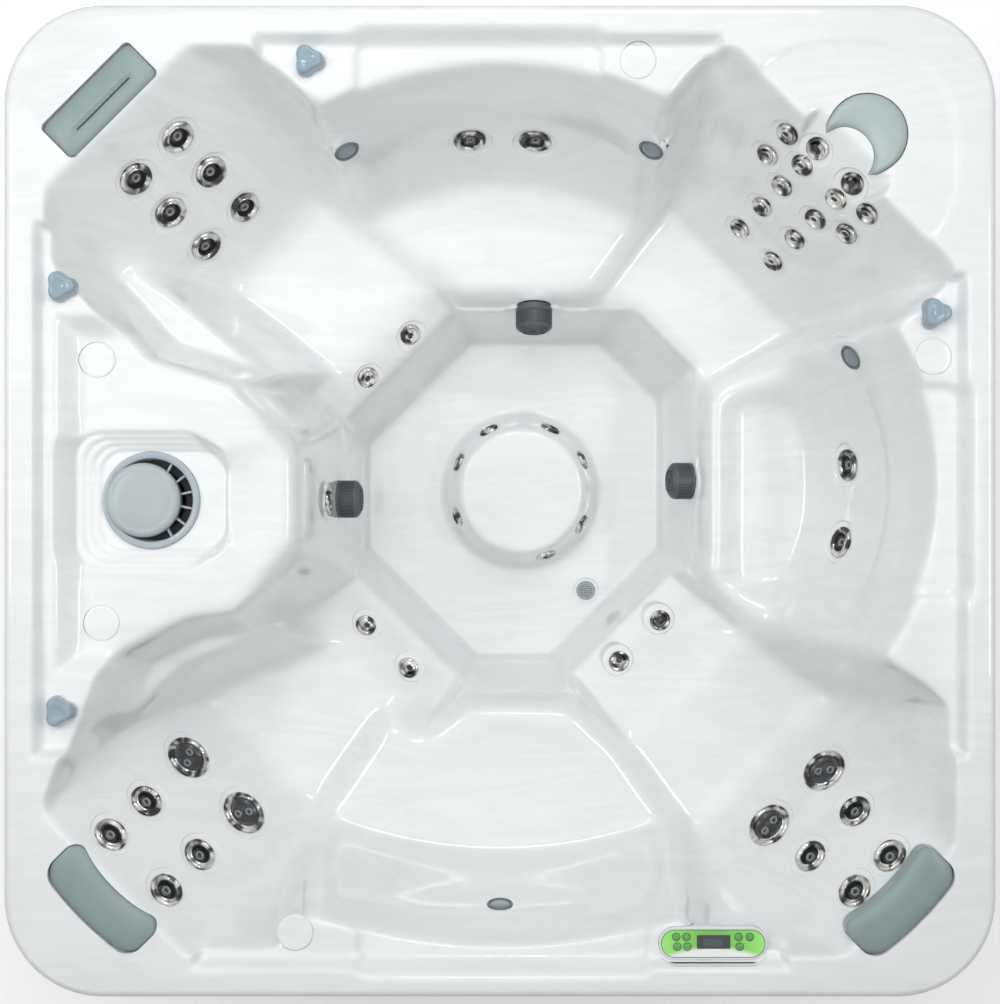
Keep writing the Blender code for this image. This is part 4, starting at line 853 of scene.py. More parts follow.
@dataclass(frozen=True)
class ShellForm:
    """The moulded shell's height over the plan, and the frames that its fittings take from it."""

    half: float = 1.0669
    corner: float = 0.214
    lip_roll: float = 0.020
    rim: float = 0.92
    side_deck: float = 0.885
    filter_deck: float = 0.83
    filter_pocket: float = 0.795
    pillow_pocket: float = 0.87
    arm: float = 0.66
    arm_crease: float = 0.62
    bench: float = 0.46
    far_bench: float = 0.44
    seat: float = 0.40
    bowl: float = 0.40
    facet: float = 0.29
    floor: float = 0.10
    soft: float = 0.006
    rim_soft: float = 0.004
    wall_top: float = 0.87
    scoop_drop: float = 0.017
    terrace_step: float = 0.0085
    terraces: tuple[Point, ...] = ((-0.938, 0.152), (-0.921, 0.139), (-0.905, 0.126), (-0.890, 0.114))
    corner_deck_drop: float = 0.006
    arm_slope: float = 4.0
    bench_side_slope: float = 3.0
    bucket: Line = ((0.545, -0.240), (0.800, 0.275))
    bucket_slope: float = 2.5
    near_dish_middle: float = -0.645
    near_dish_half: Point = (0.27, 0.15)
    near_dish_depth: float = 0.014
    dome_radius: float = 0.207
    dome_bend: float = 0.046
    dome_height: float = 0.12

    def box_pool(
        self, x: Array, y: Array, low: Point, high: Point, floor: float, level: float, slope: float,
    ) -> Array:
        """A rectangular sunken area with sloping sides."""
        outside = np.maximum.reduce([low[0] - x, x - high[0], low[1] - y, y - high[1]])
        return soft_max(self.soft, floor + 0 * x, level + slope * outside)

    def backrest(self, x: Array, y: Array, name: str) -> Array:
        """The slope that a corner seat's back lies on.

        Args:
            x: Plan coordinates.
            y: Plan coordinates.
            name: The seat's name.

        Returns:
            The height.
        """
        outward, level, foot, top = SEATS[name]
        out = x * outward[0] + y * outward[1]
        return level + (out - foot) * (self.rim - level) / (top - foot)

    def seat_front(self, x: Array, y: Array, name: str) -> Array:
        """Ends a seat's bowl over the footwell."""
        outward = SEATS[name][0]
        return self.seat + 3.0 * (0.20 - x * outward[0] - y * outward[1])

    def corner_limit(self, x: Array, y: Array) -> Array:
        """Keeps a bowl inside the flat rim."""
        return self.rim + 4.0 * soft_max(0.02, np.abs(x) - 0.975, np.abs(y) - 0.975)

    def arm_walls(self, x: Array, y: Array, near: bool) -> list[Array]:
        """The edge of the filter deck over one armrest.

        Args:
            x: Plan coordinates.
            y: Plan coordinates.
            near: Whether it is the near armrest.

        Returns:
            The heights of its walls.
        """
        inside = (-0.6, -0.5) if near else (-0.6, 0.5)
        lines = [
            (((-0.692, -0.262), (-0.423, -0.234)), self.filter_deck),
            (((-0.857, -0.348), (-0.692, -0.262)), self.filter_deck),
            (((-0.958, -0.629), (-0.857, -0.348)), self.wall_top),
        ] if near else [
            (((-0.773, 0.317), (-0.447, 0.216)), self.filter_deck),
            (((-0.905, 0.465), (-0.773, 0.317)), self.filter_deck),
        ]
        return [plan_wall(x, y, line, level, self.arm_slope, inside) for line, level in lines]

    def seat_bowls(self, x: Array, y: Array) -> list[Array]:
        """The four corner seats, each a floor between a backrest and two side walls.

        Args:
            x: Plan coordinates.
            y: Plan coordinates.

        Returns:
            A height for each seat.
        """
        lines = {
            "top_left": [
                (DIVIDERS["far_left"], self.far_bench, 7.0),
                (((-0.759, 0.490), (-0.447, 0.216)), self.arm_crease, 3.0),
                (((-0.917, 0.613), (-0.759, 0.490)), self.arm_crease, 3.0),
            ],
            "top_right": [
                (DIVIDERS["far_right"], self.far_bench, 5.0), (DIVIDERS["right_far"], self.far_bench, 10.0),
            ],
            "bottom_right": [
                (DIVIDERS["right_near"], self.bench, 6.0), (DIVIDERS["near_right"], self.bench, 6.0),
            ],
            "bottom_left": [
                (DIVIDERS["near_left"], self.bench, 6.0),
                (((-0.740, -0.398), (-0.4525, -0.283)), self.arm_crease, 3.0),
                (((-0.900, -0.560), (-0.740, -0.398)), self.arm_crease, 3.0),
            ],
        }
        bowls = []
        for name, sides in lines.items():
            outward, level = SEATS[name][:2]
            inside = (math.copysign(0.55, outward[0]), math.copysign(0.55, outward[1]))
            arms = self.arm_walls(x, y, outward[1] < 0) if outward[0] < 0 else []
            walls = [plan_wall(x, y, line, height, slope, inside) for line, height, slope in sides]
            bowls.append(soft_max(
                self.soft * 3, level + 0 * x, self.backrest(x, y, name), self.seat_front(x, y, name),
                *walls, self.corner_limit(x, y), *arms,
            ))
        return bowls

    def arm_shelves(self, x: Array, y: Array) -> list[Array]:
        """The armrests between the filter deck and the two left-hand seats.

        Args:
            x: Plan coordinates.
            y: Plan coordinates.

        Returns:
            A height for each armrest.
        """
        far_side = plan_wall(x, y, DIVIDERS["far_left"], self.far_bench, 7.0, (-0.5, 0.5))
        near_side = plan_wall(x, y, DIVIDERS["near_left"], self.bench, 6.0, (-0.6, -0.6))
        shelves = []
        for name, near, side in (("top_left", False, far_side), ("bottom_left", True, near_side)):
            ends = (self.backrest(x, y, name), self.seat_front(x, y, name), self.corner_limit(x, y))
            shelves.append(soft_max(self.soft, self.arm + 0 * x, *ends, *self.arm_walls(x, y, near), side))
        return shelves

    def benches(self, x: Array, y: Array, finer: bool) -> list[Array]:
        """The three benches between the corner seats, and the bucket sunk into the right-hand one.

        Args:
            x: Plan coordinates.
            y: Plan coordinates.
            finer: Whether the details that only show are in.

        Returns:
            A height for each bench and the bucket.
        """
        flat = 0 * x
        near_seat = self.bench - flat
        if finer:
            out_x = x / self.near_dish_half[0]
            out_y = (y - self.near_dish_middle) / self.near_dish_half[1]
            away = np.clip(1 - out_x ** 2 - out_y ** 2, 0, 1)
            near_seat = self.bench - self.near_dish_depth * away * away * (3 - 2 * away)
        parts = []
        for bench, seat, level, ends, inside in (
            ("far", self.far_bench + flat, self.far_bench, ("far_left", "far_right"), (0.0, 0.6)),
            ("right", self.bench + flat, self.bench, ("right_far", "right_near"), (0.6, 0.0)),
            ("near", near_seat, self.bench, ("near_left", "near_right"), (0.0, -0.7)),
        ):
            sides = [plan_wall(x, y, DIVIDERS[end], level, self.bench_side_slope, inside) for end in ends]
            parts.append(soft_max(self.soft * 2, seat, arc_wall(x, y, bench, level), *sides))
        right_wall = arc_wall(x, y, "right", self.bench)
        if finer:
            pool = self.bench + self.bucket_slope * round_box(x, y, *self.bucket, 0.045)
            bucket = soft_max(self.soft, self.bowl + flat, pool, right_wall)
        else:
            pool = self.box_pool(x, y, *self.bucket, self.bowl, self.bench, self.bucket_slope)
            bucket = soft_max(self.soft, pool, right_wall)
        return [*parts[:2], bucket, parts[2]]

    def calf_facets(self, x: Array, y: Array) -> list[Array]:
        """The slopes in front of three corner seats that the calf jets are set in.

        Args:
            x: Plan coordinates.
            y: Plan coordinates.

        Returns:
            A height for each slope.
        """
        facets = []
        for name, edge, slope, offset in (
            ("top_left", 0.500, 0.8, 0.06),
            ("bottom_left", 0.532, 0.8, -0.06),
            ("bottom_right", 0.653, 0.65, 0.0),
        ):
            outward = SEATS[name][0]
            out = x * outward[0] + y * outward[1]
            across = x * outward[1] - y * outward[0] - offset
            facets.append(soft_max(
                self.soft, self.facet + 0 * x, self.seat + slope * (out - edge),
                self.seat + 5.0 * (np.abs(across) - 0.21), self.seat + 3.0 * (0.20 - out),
                self.seat + 5.0 * (out - edge - 0.02),
            ))
        return facets

    def footwell(self, x: Array, y: Array) -> Array:
        """The eight-sided well for the feet.

        Args:
            x: Plan coordinates.
            y: Plan coordinates.

        Returns:
            The height.
        """
        sides = (
            ((-DIAGONAL, DIAGONAL), 0.363, 4.3), ((DIAGONAL, DIAGONAL), 0.495, 3.1),
            ((DIAGONAL, -DIAGONAL), 0.396, 5.0), ((-DIAGONAL, -DIAGONAL), 0.344, 4.9),
            ((1, 0), 0.431, 4.9), ((-1, 0), 0.363, 11.0), ((0, 1), 0.433, 6.0), ((0, -1), 0.420, 5.1),
        )
        walls = [self.floor + slope * (x * out[0] + y * out[1] - reach) for out, reach, slope in sides]
        return soft_max(self.soft, self.floor + 0 * x, *walls)

    def side_decks(self, x: Array, y: Array) -> list[Array]:
        """The shallow decks along the four sides, below the rim.

        Args:
            x: Plan coordinates.
            y: Plan coordinates.

        Returns:
            A height for each deck.
        """
        reach = 1.003
        areas = (
            ((-0.53, 0.5), (0.48, reach)), ((0.5, -0.55), (reach, 0.49)),
            ((-0.66, -reach), (0.62, -0.5)), ((-reach, -0.55), (-0.5, 0.60)),
        )
        return [self.box_pool(x, y, low, high, self.side_deck, self.rim, 2.5) for low, high in areas]

    def pillow_pockets(self, x: Array, y: Array) -> list[Array]:
        """The recesses at the heads of the corner seats that the pillows lie in.

        Args:
            x: Plan coordinates.
            y: Plan coordinates.

        Returns:
            A height for each pocket.
        """
        pockets = []
        for name, distance in PILLOW_DISTANCE.items():
            outward = SEATS[name][0]
            out = x * outward[0] + y * outward[1] - distance
            across = np.abs(x * outward[1] - y * outward[0])
            outside = np.maximum(out - 0.05625, across - 0.128)
            inside = np.maximum(outside - 0.018, -out - 0.090)
            pockets.append(soft_max(self.rim_soft, self.pillow_pocket + 0 * x, self.rim + 5.0 * inside))
        outward = SEATS["top_right"][0]
        away = np.hypot(x - CRESCENT_OUTER * outward[0], y - CRESCENT_OUTER * outward[1])
        bitten = np.hypot(x - CRESCENT_HOLLOW * outward[0], y - CRESCENT_HOLLOW * outward[1])
        inside = np.maximum(away - 0.105, 0.051 - bitten)
        pockets.append(soft_max(self.rim_soft, self.pillow_pocket + 0 * x, self.rim + 5.0 * inside))
        return pockets

    def niche(self, x: Array, y: Array, radius: float) -> Array:
        """The hollow inside the crescent pillow, at the top of the far right seat's back.

        Args:
            x: Plan coordinates.
            y: Plan coordinates.
            radius: The hollow's radius.

        Returns:
            The height.
        """
        outward = SEATS["top_right"][0]
        out = x * outward[0] + y * outward[1]
        bitten = np.hypot(x - CRESCENT_HOLLOW * outward[0], y - CRESCENT_HOLLOW * outward[1])
        back = self.backrest(x, y, "top_right") - 1.1 * np.maximum(out - 1.0, 0)
        return soft_max(self.rim_soft, back, self.rim + 4.0 * (bitten - radius))

    def scoops(self, x: Array, y: Array) -> list[Array]:
        """The shallow scoops between the islands of the side decks.

        Args:
            x: Plan coordinates.
            y: Plan coordinates.

        Returns:
            A height for each scoop.
        """
        low = self.side_deck - self.scoop_drop
        areas = (
            ((-0.317, 0.55), (0.227, 0.999)),
            ((0.55, -0.212), (0.999, 0.256)),
            ((-0.314, -0.999), (0.325, -0.55)),
        )
        return [
            soft_max(self.rim_soft, low + 0 * x, self.side_deck + 1.6 * round_box(x, y, first, second, 0.035))
            for first, second in areas
        ]

    def filter_steps(self, x: Array, y: Array) -> list[Array]:
        """The nested terraces round the filter, and the fan that leads the water over the deck to it.

        Args:
            x: Plan coordinates.
            y: Plan coordinates.

        Returns:
            A height for each terrace and the fan.
        """
        steps = []
        middle_y = FILTER_CENTRE[1]
        for index, (left, reach) in enumerate(self.terraces):
            low, high = (left, middle_y - reach), (-0.640 + 0.012 * index, middle_y + reach)
            bound = round_box(x, y, low, high, 0.058)
            level = self.filter_deck - self.terrace_step * (index + 1)
            steps.append(soft_max(0.0012, level + 0 * x, level + self.terrace_step + 1.6 * bound))
        run = np.clip((x + 0.68) / 0.26, 0, 1)
        spread = 0.074 + 0.112 * run ** 1.4
        bed = self.filter_pocket + 0.006 + 0.016 * run
        side = self.filter_deck + 0.9 * (np.abs(y - middle_y) - spread)
        ends = (self.filter_deck + 1.2 * (-0.700 - x), self.filter_deck + 1.5 * (x + 0.40))
        steps.append(soft_max(0.0022, bed, side, *ends))
        return steps

    def corner_deck(self, x: Array, y: Array) -> Array:
        """The wide deck round the crescent pillow, a step below the rim."""
        bound = round_box(x, y, (0.50, 0.50), (0.979, 0.985), 0.20)
        return soft_max(0.001, self.rim - self.corner_deck_drop + 0 * x, self.rim + 1.8 * bound)

    def carved(self, x: Array, y: Array, finer: bool) -> Array:
        """The height with everything carved out of the flat rim.

        Args:
            x: Plan coordinates.
            y: Plan coordinates.
            finer: Whether the details that only show are in.

        Returns:
            The height.
        """
        left = -0.990 if finer else -0.945
        deck_area = self.box_pool(x, y, (left, -0.40), (0.0, 0.43), self.filter_deck, self.rim, 1.3)
        niche = self.niche(x, y, 0.117 if finer else 0.078)
        parts = [self.rim + 0 * x, deck_area, *self.side_decks(x, y), niche]
        if finer:
            parts += [*self.scoops(x, y), *self.filter_steps(x, y), self.corner_deck(x, y)]
        else:
            low, high = (-0.905, -0.135), (-0.62, 0.140)
            parts.append(self.box_pool(x, y, low, high, self.filter_pocket, self.filter_deck, 1.5))
            parts += self.pillow_pockets(x, y)
        parts += [*self.arm_shelves(x, y), *self.seat_bowls(x, y), *self.benches(x, y, finer)]
        parts += [*self.calf_facets(x, y), self.footwell(x, y)]
        height = np.minimum(soft_min(self.rim_soft, *parts), self.rim)
        away = np.hypot(x - DOME_CENTRE[0], y - DOME_CENTRE[1])
        share = np.clip((self.dome_radius - away) / self.dome_bend, 0, 1)
        dome = self.floor + self.dome_height * share * share * (3 - 2 * share)
        return np.where(away < self.dome_radius, np.maximum(height, dome), height)

    def surface(self, x: Array | float, y: Array | float) -> Array:
        """The plain height that the fittings take their places from."""
        return self.carved(np.asarray(x, float), np.asarray(y, float), False)

    def moulded(self, x: Array, y: Array) -> Array:
        """The full height, with the scoops, terraces and steps."""
        return self.carved(np.asarray(x, float), np.asarray(y, float), True)

    def frame(self, x: float, y: float) -> Matrix:
        """A matrix at a point of the shell, with Z along the outward normal.

        Args:
            x: The point's place along X.
            y: Its place along Y.

        Returns:
            The matrix.
        """
        step = 0.003
        slope_x = (self.surface(x + step, y) - self.surface(x - step, y)) / (2 * step)
        slope_y = (self.surface(x, y + step) - self.surface(x, y - step)) / (2 * step)
        normal = Vector((-float(slope_x), -float(slope_y), 1.0)).normalized()
        turn = normal.to_track_quat("Z", "Y").to_matrix().to_4x4()
        return Matrix.Translation((x, y, float(self.surface(x, y)))) @ turn

    def wall_frame(self, origin: Point, direction: Point, level: float) -> Matrix:
        """A matrix where a line in plan, going out from a point, meets the shell at one level.

        Args:
            origin: Where the line starts.
            direction: Which way it goes.
            level: The height to find.

        Returns:
            The matrix.
        """
        near, far = 0.0, 1.2
        for _ in range(50):
            middle = (near + far) / 2
            if self.surface(origin[0] + direction[0] * middle, origin[1] + direction[1] * middle) < level:
                near = middle
            else:
                far = middle
        return self.frame(origin[0] + direction[0] * near, origin[1] + direction[1] * near)

    def seat_point(self, name: str, out: float, across: float) -> Point:
        """A point of the plan, from its distance along a seat's diagonal and its offset to the right."""
        outward = SEATS[name][0]
        return out * outward[0] + across * outward[1], out * outward[1] - across * outward[0]

    def to_plan(self, u: Array, v: Array) -> tuple[Array, Array]:
        """Maps a square grid onto the rounded square inside the rim's rolled edge."""
        reach, turn = self.half - self.lip_roll, self.corner - self.lip_roll
        return round_corners(u * reach, v * reach, (reach, reach), turn)

    def outline_normal(self, x: Array, y: Array) -> tuple[Array, Array]:
        """Direction straight out of the rounded outline at points on it.

        Args:
            x: Plan coordinates.
            y: Plan coordinates.

        Returns:
            The parts along X and Y.
        """
        middle = self.half - self.corner
        out_x, out_y = x - np.clip(x, -middle, middle), y - np.clip(y, -middle, middle)
        length = np.maximum(np.hypot(out_x, out_y), 1e-9)
        return out_x / length, out_y / length


@dataclass
class SoftMould:
    """The shell's height on a fine grid, with its bends as soft as heated sheet takes them.

    The seats and benches bend widest, the footwell and the decks less, and the filter's terraces are crisp.
    """

    form: ShellForm
    fittings: list[tuple[Vector, float]]
    step: float = 0.0025
    reach: float = 1.085
    crisp_bend: float = 0.0018
    deck_bend: float = 0.0055
    well_bend: float = 0.010
    seat_bend: float = 0.027
    clear_from: float = 0.004
    clear_to: float = 0.045
    heights: Array = field(init=False)

    def __post_init__(self) -> None:
        """Works out the grid of heights."""
        count = 2 * round(self.reach / self.step) + 1
        line = np.linspace(-self.reach, self.reach, count)
        x, y = np.meshgrid(line, line, indexing="ij")
        plain = self.form.moulded(x, y)
        bends = (self.crisp_bend, self.deck_bend, self.well_bend, self.seat_bend)
        crisp, deck, well, seat = (self.drawn(plain, bend) for bend in bends)
        away = self.share(round_box(x, y, (-0.962, -0.168), (-0.610, 0.172), 0.05), 0.0, 0.03)
        height = crisp + (deck - crisp) * away
        height += (well - height) * self.share(-well, -0.885, -0.82) * away
        deep = self.share(well, 0.35, 0.41) * self.share(-seat, -0.885, -0.80)
        for low, high in (((-0.98, 0.22), (-0.44, 0.47)), ((-0.98, -0.50), (-0.44, -0.22))):
            deep = deep * (0.25 + 0.75 * self.share(round_box(x, y, low, high, 0.10), 0.0, 0.09))
        self.heights = height + (seat - height) * deep * self.clear_of_fittings(x, y, plain) * away

    def drawn(self, height: Array, bend: float) -> Array:
        """The height with every bend drawn out over a width, by damping its fine waves.

        Args:
            height: Heights on the grid.
            bend: How wide a bend becomes.

        Returns:
            The softened heights.
        """
        rate = np.fft.fftfreq(height.shape[0], self.step)[:, None]
        half_rate = np.fft.rfftfreq(height.shape[1], self.step)[None, :]
        damping = np.exp(-2 * (math.pi * bend) ** 2 * (rate ** 2 + half_rate ** 2))
        return np.fft.irfft2(np.fft.rfft2(height) * damping, s=height.shape)

    @staticmethod
    def share(value: Array, low: float, high: float) -> Array:
        """Nought below the low value, one above the high one, and smooth between."""
        t = np.clip((value - low) / (high - low), 0, 1)
        return t * t * (3 - 2 * t)

    def clear_of_fittings(self, x: Array, y: Array, plain: Array) -> Array:
        """One away from the fittings and nought round each, where the shell keeps its plain form.

        Args:
            x: Plan coordinates.
            y: Plan coordinates.
            plain: The heights before they are softened.

        Returns:
            The shares.
        """
        clear = np.ones_like(plain)
        for place, radius in self.fittings:
            margin = round((radius + 0.07) / self.step)
            i, j = (round((value + self.reach) / self.step) for value in place.xy)
            area = np.s_[max(0, i - margin):i + margin, max(0, j - margin):j + margin]
            offsets = (x[area] - place.x, y[area] - place.y, plain[area] - place.z)
            gap = np.sqrt(sum(offset ** 2 for offset in offsets)) - radius
            clear[area] *= self.share(gap, self.clear_from, self.clear_to)
        return clear

    def height(self, x: Array | float, y: Array | float) -> Array:
        """The height over any points of the plan, by cubic interpolation.

        Args:
            x: Plan coordinates.
            y: Plan coordinates.

        Returns:
            The heights.
        """
        total, spans = 0.0, []
        for value in (x, y):
            place = (np.asarray(value, float) + self.reach) / self.step
            cell = np.clip(np.floor(place).astype(int), 1, self.heights.shape[0] - 3)
            t = place - cell
            spans.append((cell, (
                ((2 - t) * t - 1) * t / 2, ((3 * t - 5) * t * t + 2) / 2,
                ((4 - 3 * t) * t + 1) * t / 2, (t - 1) * t * t / 2,
            )))
        (i, along_x), (j, along_y) = spans
        for a, share_x in enumerate(along_x):
            for b, share_y in enumerate(along_y):
                total = total + share_x * share_y * self.heights[i + a - 1, j + b - 1]
        return total

    def normals(self, x: Array, y: Array) -> Array:
        """Unit normals of the height, one row a point.

        Args:
            x: Plan coordinates.
            y: Plan coordinates.

        Returns:
            The normals.
        """
        step = 0.0012
        slope_x = (self.height(x + step, y) - self.height(x - step, y)) / (2 * step)
        slope_y = (self.height(x, y + step) - self.height(x, y - step)) / (2 * step)
        rows = np.stack([-slope_x, -slope_y, np.ones_like(slope_x)], axis=1)
        return rows / np.linalg.norm(rows, axis=1, keepdims=True)


@dataclass
class AcrylicShell:
    """The vacuum-formed shell: a moulded face, a lip that rolls over the cabinet, and a plain back."""

    form: ShellForm
    mould: SoftMould
    cells: int = 480
    back_cells: int = 120
    wall: float = 0.012
    lip_drop: float = 0.070
    lip_soft: float = 0.003
    cutter_depth: float = 0.06
    pad_rise: float = 0.012
    pad_flare: float = 0.7
    sharp_angle: float = 32
    roll_steps: int = 8
    kept_triangles: int = 150000
    cutters: list[Shape] = field(default_factory=list)

    def sheet(self, cells: int, height: Callable[[Array, Array], Array], flipped: bool) -> bpy.types.Mesh:
        """One face of the shell, a grid laid over the plan.

        Args:
            cells: Cells along each side.
            height: Height over the plan.
            flipped: Whether it faces down.

        Returns:
            The mesh.
        """
        shape = Shape()
        bmesh.ops.create_grid(shape.bm, x_segments=cells, y_segments=cells, size=1)
        if flipped:
            bmesh.ops.reverse_faces(shape.bm, faces=shape.bm.faces)
        mesh = bpy.data.meshes.new("sheet")
        shape.bm.to_mesh(mesh)
        shape.bm.free()
        flat = np.empty(len(mesh.vertices) * 3, dtype=np.float32)
        mesh.vertices.foreach_get("co", flat)
        places = flat.reshape(-1, 3).astype(float)
        x, y = self.form.to_plan(places[:, 0], places[:, 1])
        rows = np.stack([x, y, height(x, y)], axis=1)
        mesh.vertices.foreach_set("co", rows.astype(np.float32).ravel())
        return mesh

    def back(self, x: Array, y: Array) -> Array:
        """Height of the shell's back, one wall thickness behind the face in every direction.

        Args:
            x: Plan coordinates.
            y: Plan coordinates.

        Returns:
            The back's heights.
        """
        low = np.minimum(self.form.surface(x, y), self.mould.height(x, y)) - self.wall
        for share in (0.6, 1.0):
            reach = self.wall * share
            drop = math.sqrt(self.wall ** 2 - reach ** 2)
            for angle in np.linspace(0, math.tau, 8, endpoint=False):
                beside = self.form.surface(x + reach * math.cos(angle), y + reach * math.sin(angle))
                low = np.minimum(low, beside - drop)
        return low

    def lip_profile(self) -> list[Point]:
        """Reach and drop of each step of the lip, from the flat rim round to the back of its edge.

        Returns:
            The steps.
        """
        roll = self.form.lip_roll
        turns = [math.pi / 2 * step / self.roll_steps for step in range(1, self.roll_steps + 1)]
        profile = [(roll * math.sin(a), -roll * (1 - math.cos(a))) for a in turns]
        soft, edge = self.lip_soft, -self.lip_drop
        return profile + [
            (roll, edge + soft), (roll - soft * 0.3, edge + soft * 0.3), (roll - soft, edge),
            (roll - self.wall, edge), (roll - self.wall, -roll),
        ]

    def blank(self) -> bpy.types.Object:
        """The closed shell before its holes are cut.

        Returns:
            The shell's object.
        """
        shape = Shape()
        face = self.sheet(self.cells, self.mould.height, False)
        shape.bm.from_mesh(face)
        loop = [e for e in shape.bm.edges if e.is_boundary]
        known = len(shape.bm.verts)
        back = self.sheet(self.back_cells, self.back, True)
        shape.bm.from_mesh(back)
        shape.bm.verts.index_update()
        back_loop = [e for e in shape.bm.edges if e.is_boundary and e.verts[0].index >= known]
        before = (0.0, 0.0)
        for after in self.lip_profile():
            made = bmesh.ops.extrude_edge_only(shape.bm, edges=loop)["geom"]
            fresh = [g for g in made if isinstance(g, bmesh.types.BMVert)]
            loop = [g for g in made if isinstance(g, bmesh.types.BMEdge) and g.is_boundary]
            x = np.array([v.co.x for v in fresh])
            y = np.array([v.co.y for v in fresh])
            out_x, out_y = self.form.outline_normal(x, y)
            for vertex, push_x, push_y in zip(fresh, out_x, out_y):
                step = after[0] - before[0]
                vertex.co += Vector((push_x * step, push_y * step, after[1] - before[1]))
            before = after
        bmesh.ops.bridge_loops(shape.bm, edges=loop + back_loop)
        bmesh.ops.triangulate(shape.bm, faces=shape.bm.faces)
        bmesh.ops.recalc_face_normals(shape.bm, faces=shape.bm.faces)
        mesh = bpy.data.meshes.new("shell_blank")
        shape.bm.to_mesh(mesh)
        shape.bm.free()
        for spare in (face, back):
            bpy.data.meshes.remove(spare)
        blank = bpy.data.objects.new("shell_blank", mesh)
        bpy.context.scene.collection.objects.link(blank)
        return blank

    def hole(self, frame: Matrix, radius: float, pad: float, *, depth: float = 0.0016, shift: float = 0.0,
             tilt: float = 0.0, front: float = 0.03, sides: int = 40) -> None:
        """Adds a round hole, with a shallow spot-faced pad round it, to what is cut from the shell.

        Args:
            frame: Where the fitting sits, with Z out of the shell.
            radius: The hole's radius.
            pad: The pad's radius, or nought for none.
            depth: How deep the pad goes.
            shift: How far the pad's middle moves down the slope.
            tilt: How far the pad's floor turns, in degrees, so that it bites deeper up the slope.
            front: How far the hole is cleared in front of the shell.
            sides: Sides of the cut.
        """
        self.cutters.append(Shape.cylinder(radius, -self.cutter_depth, front, sides).moved(frame))
        if not pad:
            return
        down = frame.to_3x3().inverted() @ Vector((0, 0, -1))
        down.z = 0
        down = down.normalized() if down.length > 0.02 else Vector((0, -1, 0))
        side = Vector((0, 0, 1)).cross(down)
        turn = Matrix.Rotation(math.radians(-tilt), 4, side)
        rise = self.pad_rise
        cup = Shape.cylinder(pad, -depth, rise, sides, pad + (rise + depth) * self.pad_flare)
        self.cutters.append(cup.moved(frame @ Matrix.Translation(down * shift) @ turn))

    def cut_mesh(self, blank: bpy.types.Object) -> bpy.types.Mesh:
        """The shell's mesh, thinned and with every hole cut.

        Args:
            blank: The shell before its holes, which is removed.

        Returns:
            The mesh.
        """
        group = bpy.data.collections.new("shell_cutters")
        bpy.context.scene.collection.children.link(group)
        for index, cutter in enumerate(self.cutters):
            thing = cutter.finish(f"shell_cutter_{index}", [], None)
            bpy.context.scene.collection.objects.unlink(thing)
            group.objects.link(thing)
        thinned = blank.modifiers.new("fewer_faces", "DECIMATE")
        thinned.ratio = self.kept_triangles / len(blank.data.polygons)
        cut = blank.modifiers.new("holes", "BOOLEAN")
        cut.operation = "DIFFERENCE"
        cut.operand_type = "COLLECTION"
        cut.collection = group
        cut.solver = "MANIFOLD"
        bpy.context.view_layer.update()
        shown = blank.evaluated_get(bpy.context.evaluated_depsgraph_get())
        mesh = bpy.data.meshes.new_from_object(shown)
        for thing in list(group.objects):
            bpy.data.objects.remove(thing)
        bpy.data.collections.remove(group)
        bpy.data.objects.remove(blank)
        return mesh

    def shade(self, mesh: bpy.types.Mesh) -> None:
        """Gives the moulded face its true normals, and leaves the cut edges to the usual smoothing.

        Args:
            mesh: The shell's mesh.
        """
        flat = np.empty(len(mesh.vertices) * 3, dtype=np.float32)
        mesh.vertices.foreach_get("co", flat)
        rows = flat.reshape(-1, 3).astype(float)
        reach = self.form.half - self.form.lip_roll
        inside = np.maximum(np.abs(rows[:, 0]), np.abs(rows[:, 1])) < reach - 0.0005
        moulded = inside & (np.abs(rows[:, 2] - self.mould.height(rows[:, 0], rows[:, 1])) < 0.0009)
        normals = np.zeros_like(rows)
        normals[moulded] = self.mould.normals(rows[moulded, 0], rows[moulded, 1])
        corners = np.empty(len(mesh.loops), dtype=np.int32)
        mesh.loops.foreach_get("vertex_index", corners)
        totals = np.empty(len(mesh.polygons), dtype=np.int32)
        mesh.polygons.foreach_get("loop_total", totals)
        starts = np.concatenate([[0], np.cumsum(totals)[:-1]])
        whole = np.minimum.reduceat(moulded[corners].astype(np.int8), starts)
        kept = np.repeat(whole.astype(bool), totals)
        custom = np.where(kept[:, None], normals[corners], 0.0)
        mesh.shade_smooth()
        mesh.set_sharp_from_angle(angle=math.radians(self.sharp_angle))
        mesh.normals_split_custom_set(custom.tolist())

    def build(self, palette: Palette) -> None:
        """Moulds the shell, cuts its holes, and puts it in the place of the solid one.

        Args:
            palette: The finishes.
        """
        mesh = self.cut_mesh(self.blank())
        mesh.name = "moulded_shell"
        mesh.materials.clear()
        mesh.materials.append(palette.acrylic)
        mesh.polygons.foreach_set("material_index", np.zeros(len(mesh.polygons), dtype=np.int32))
        self.shade(mesh)
        shell = bpy.data.objects.new("moulded_shell", mesh)
        bpy.context.scene.collection.objects.link(shell)
        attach(shell, TUB)
        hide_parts("acrylic_shell")
        LOG.info("moulded_shell: %d faces", len(mesh.polygons))


class JetKind(Enum):
    """The three sizes of jet, by the radius of their faces."""

    MINI = 0.026
    MEDIUM = 0.038
    LARGE = 0.054


@dataclass(frozen=True)
class JetPlace:
    """One jet: its name, size, group of pipes and place."""

    name: str
    kind: JetKind
    group: str
    matrix: Matrix


@dataclass(frozen=True)
class SpotFace:
    """The shallow cup round a jet: reach and shift in radii, depth in metres, tilt in degrees."""

    reach: float
    depth: float
    shift: float
    tilt: float
    sides: int = 40


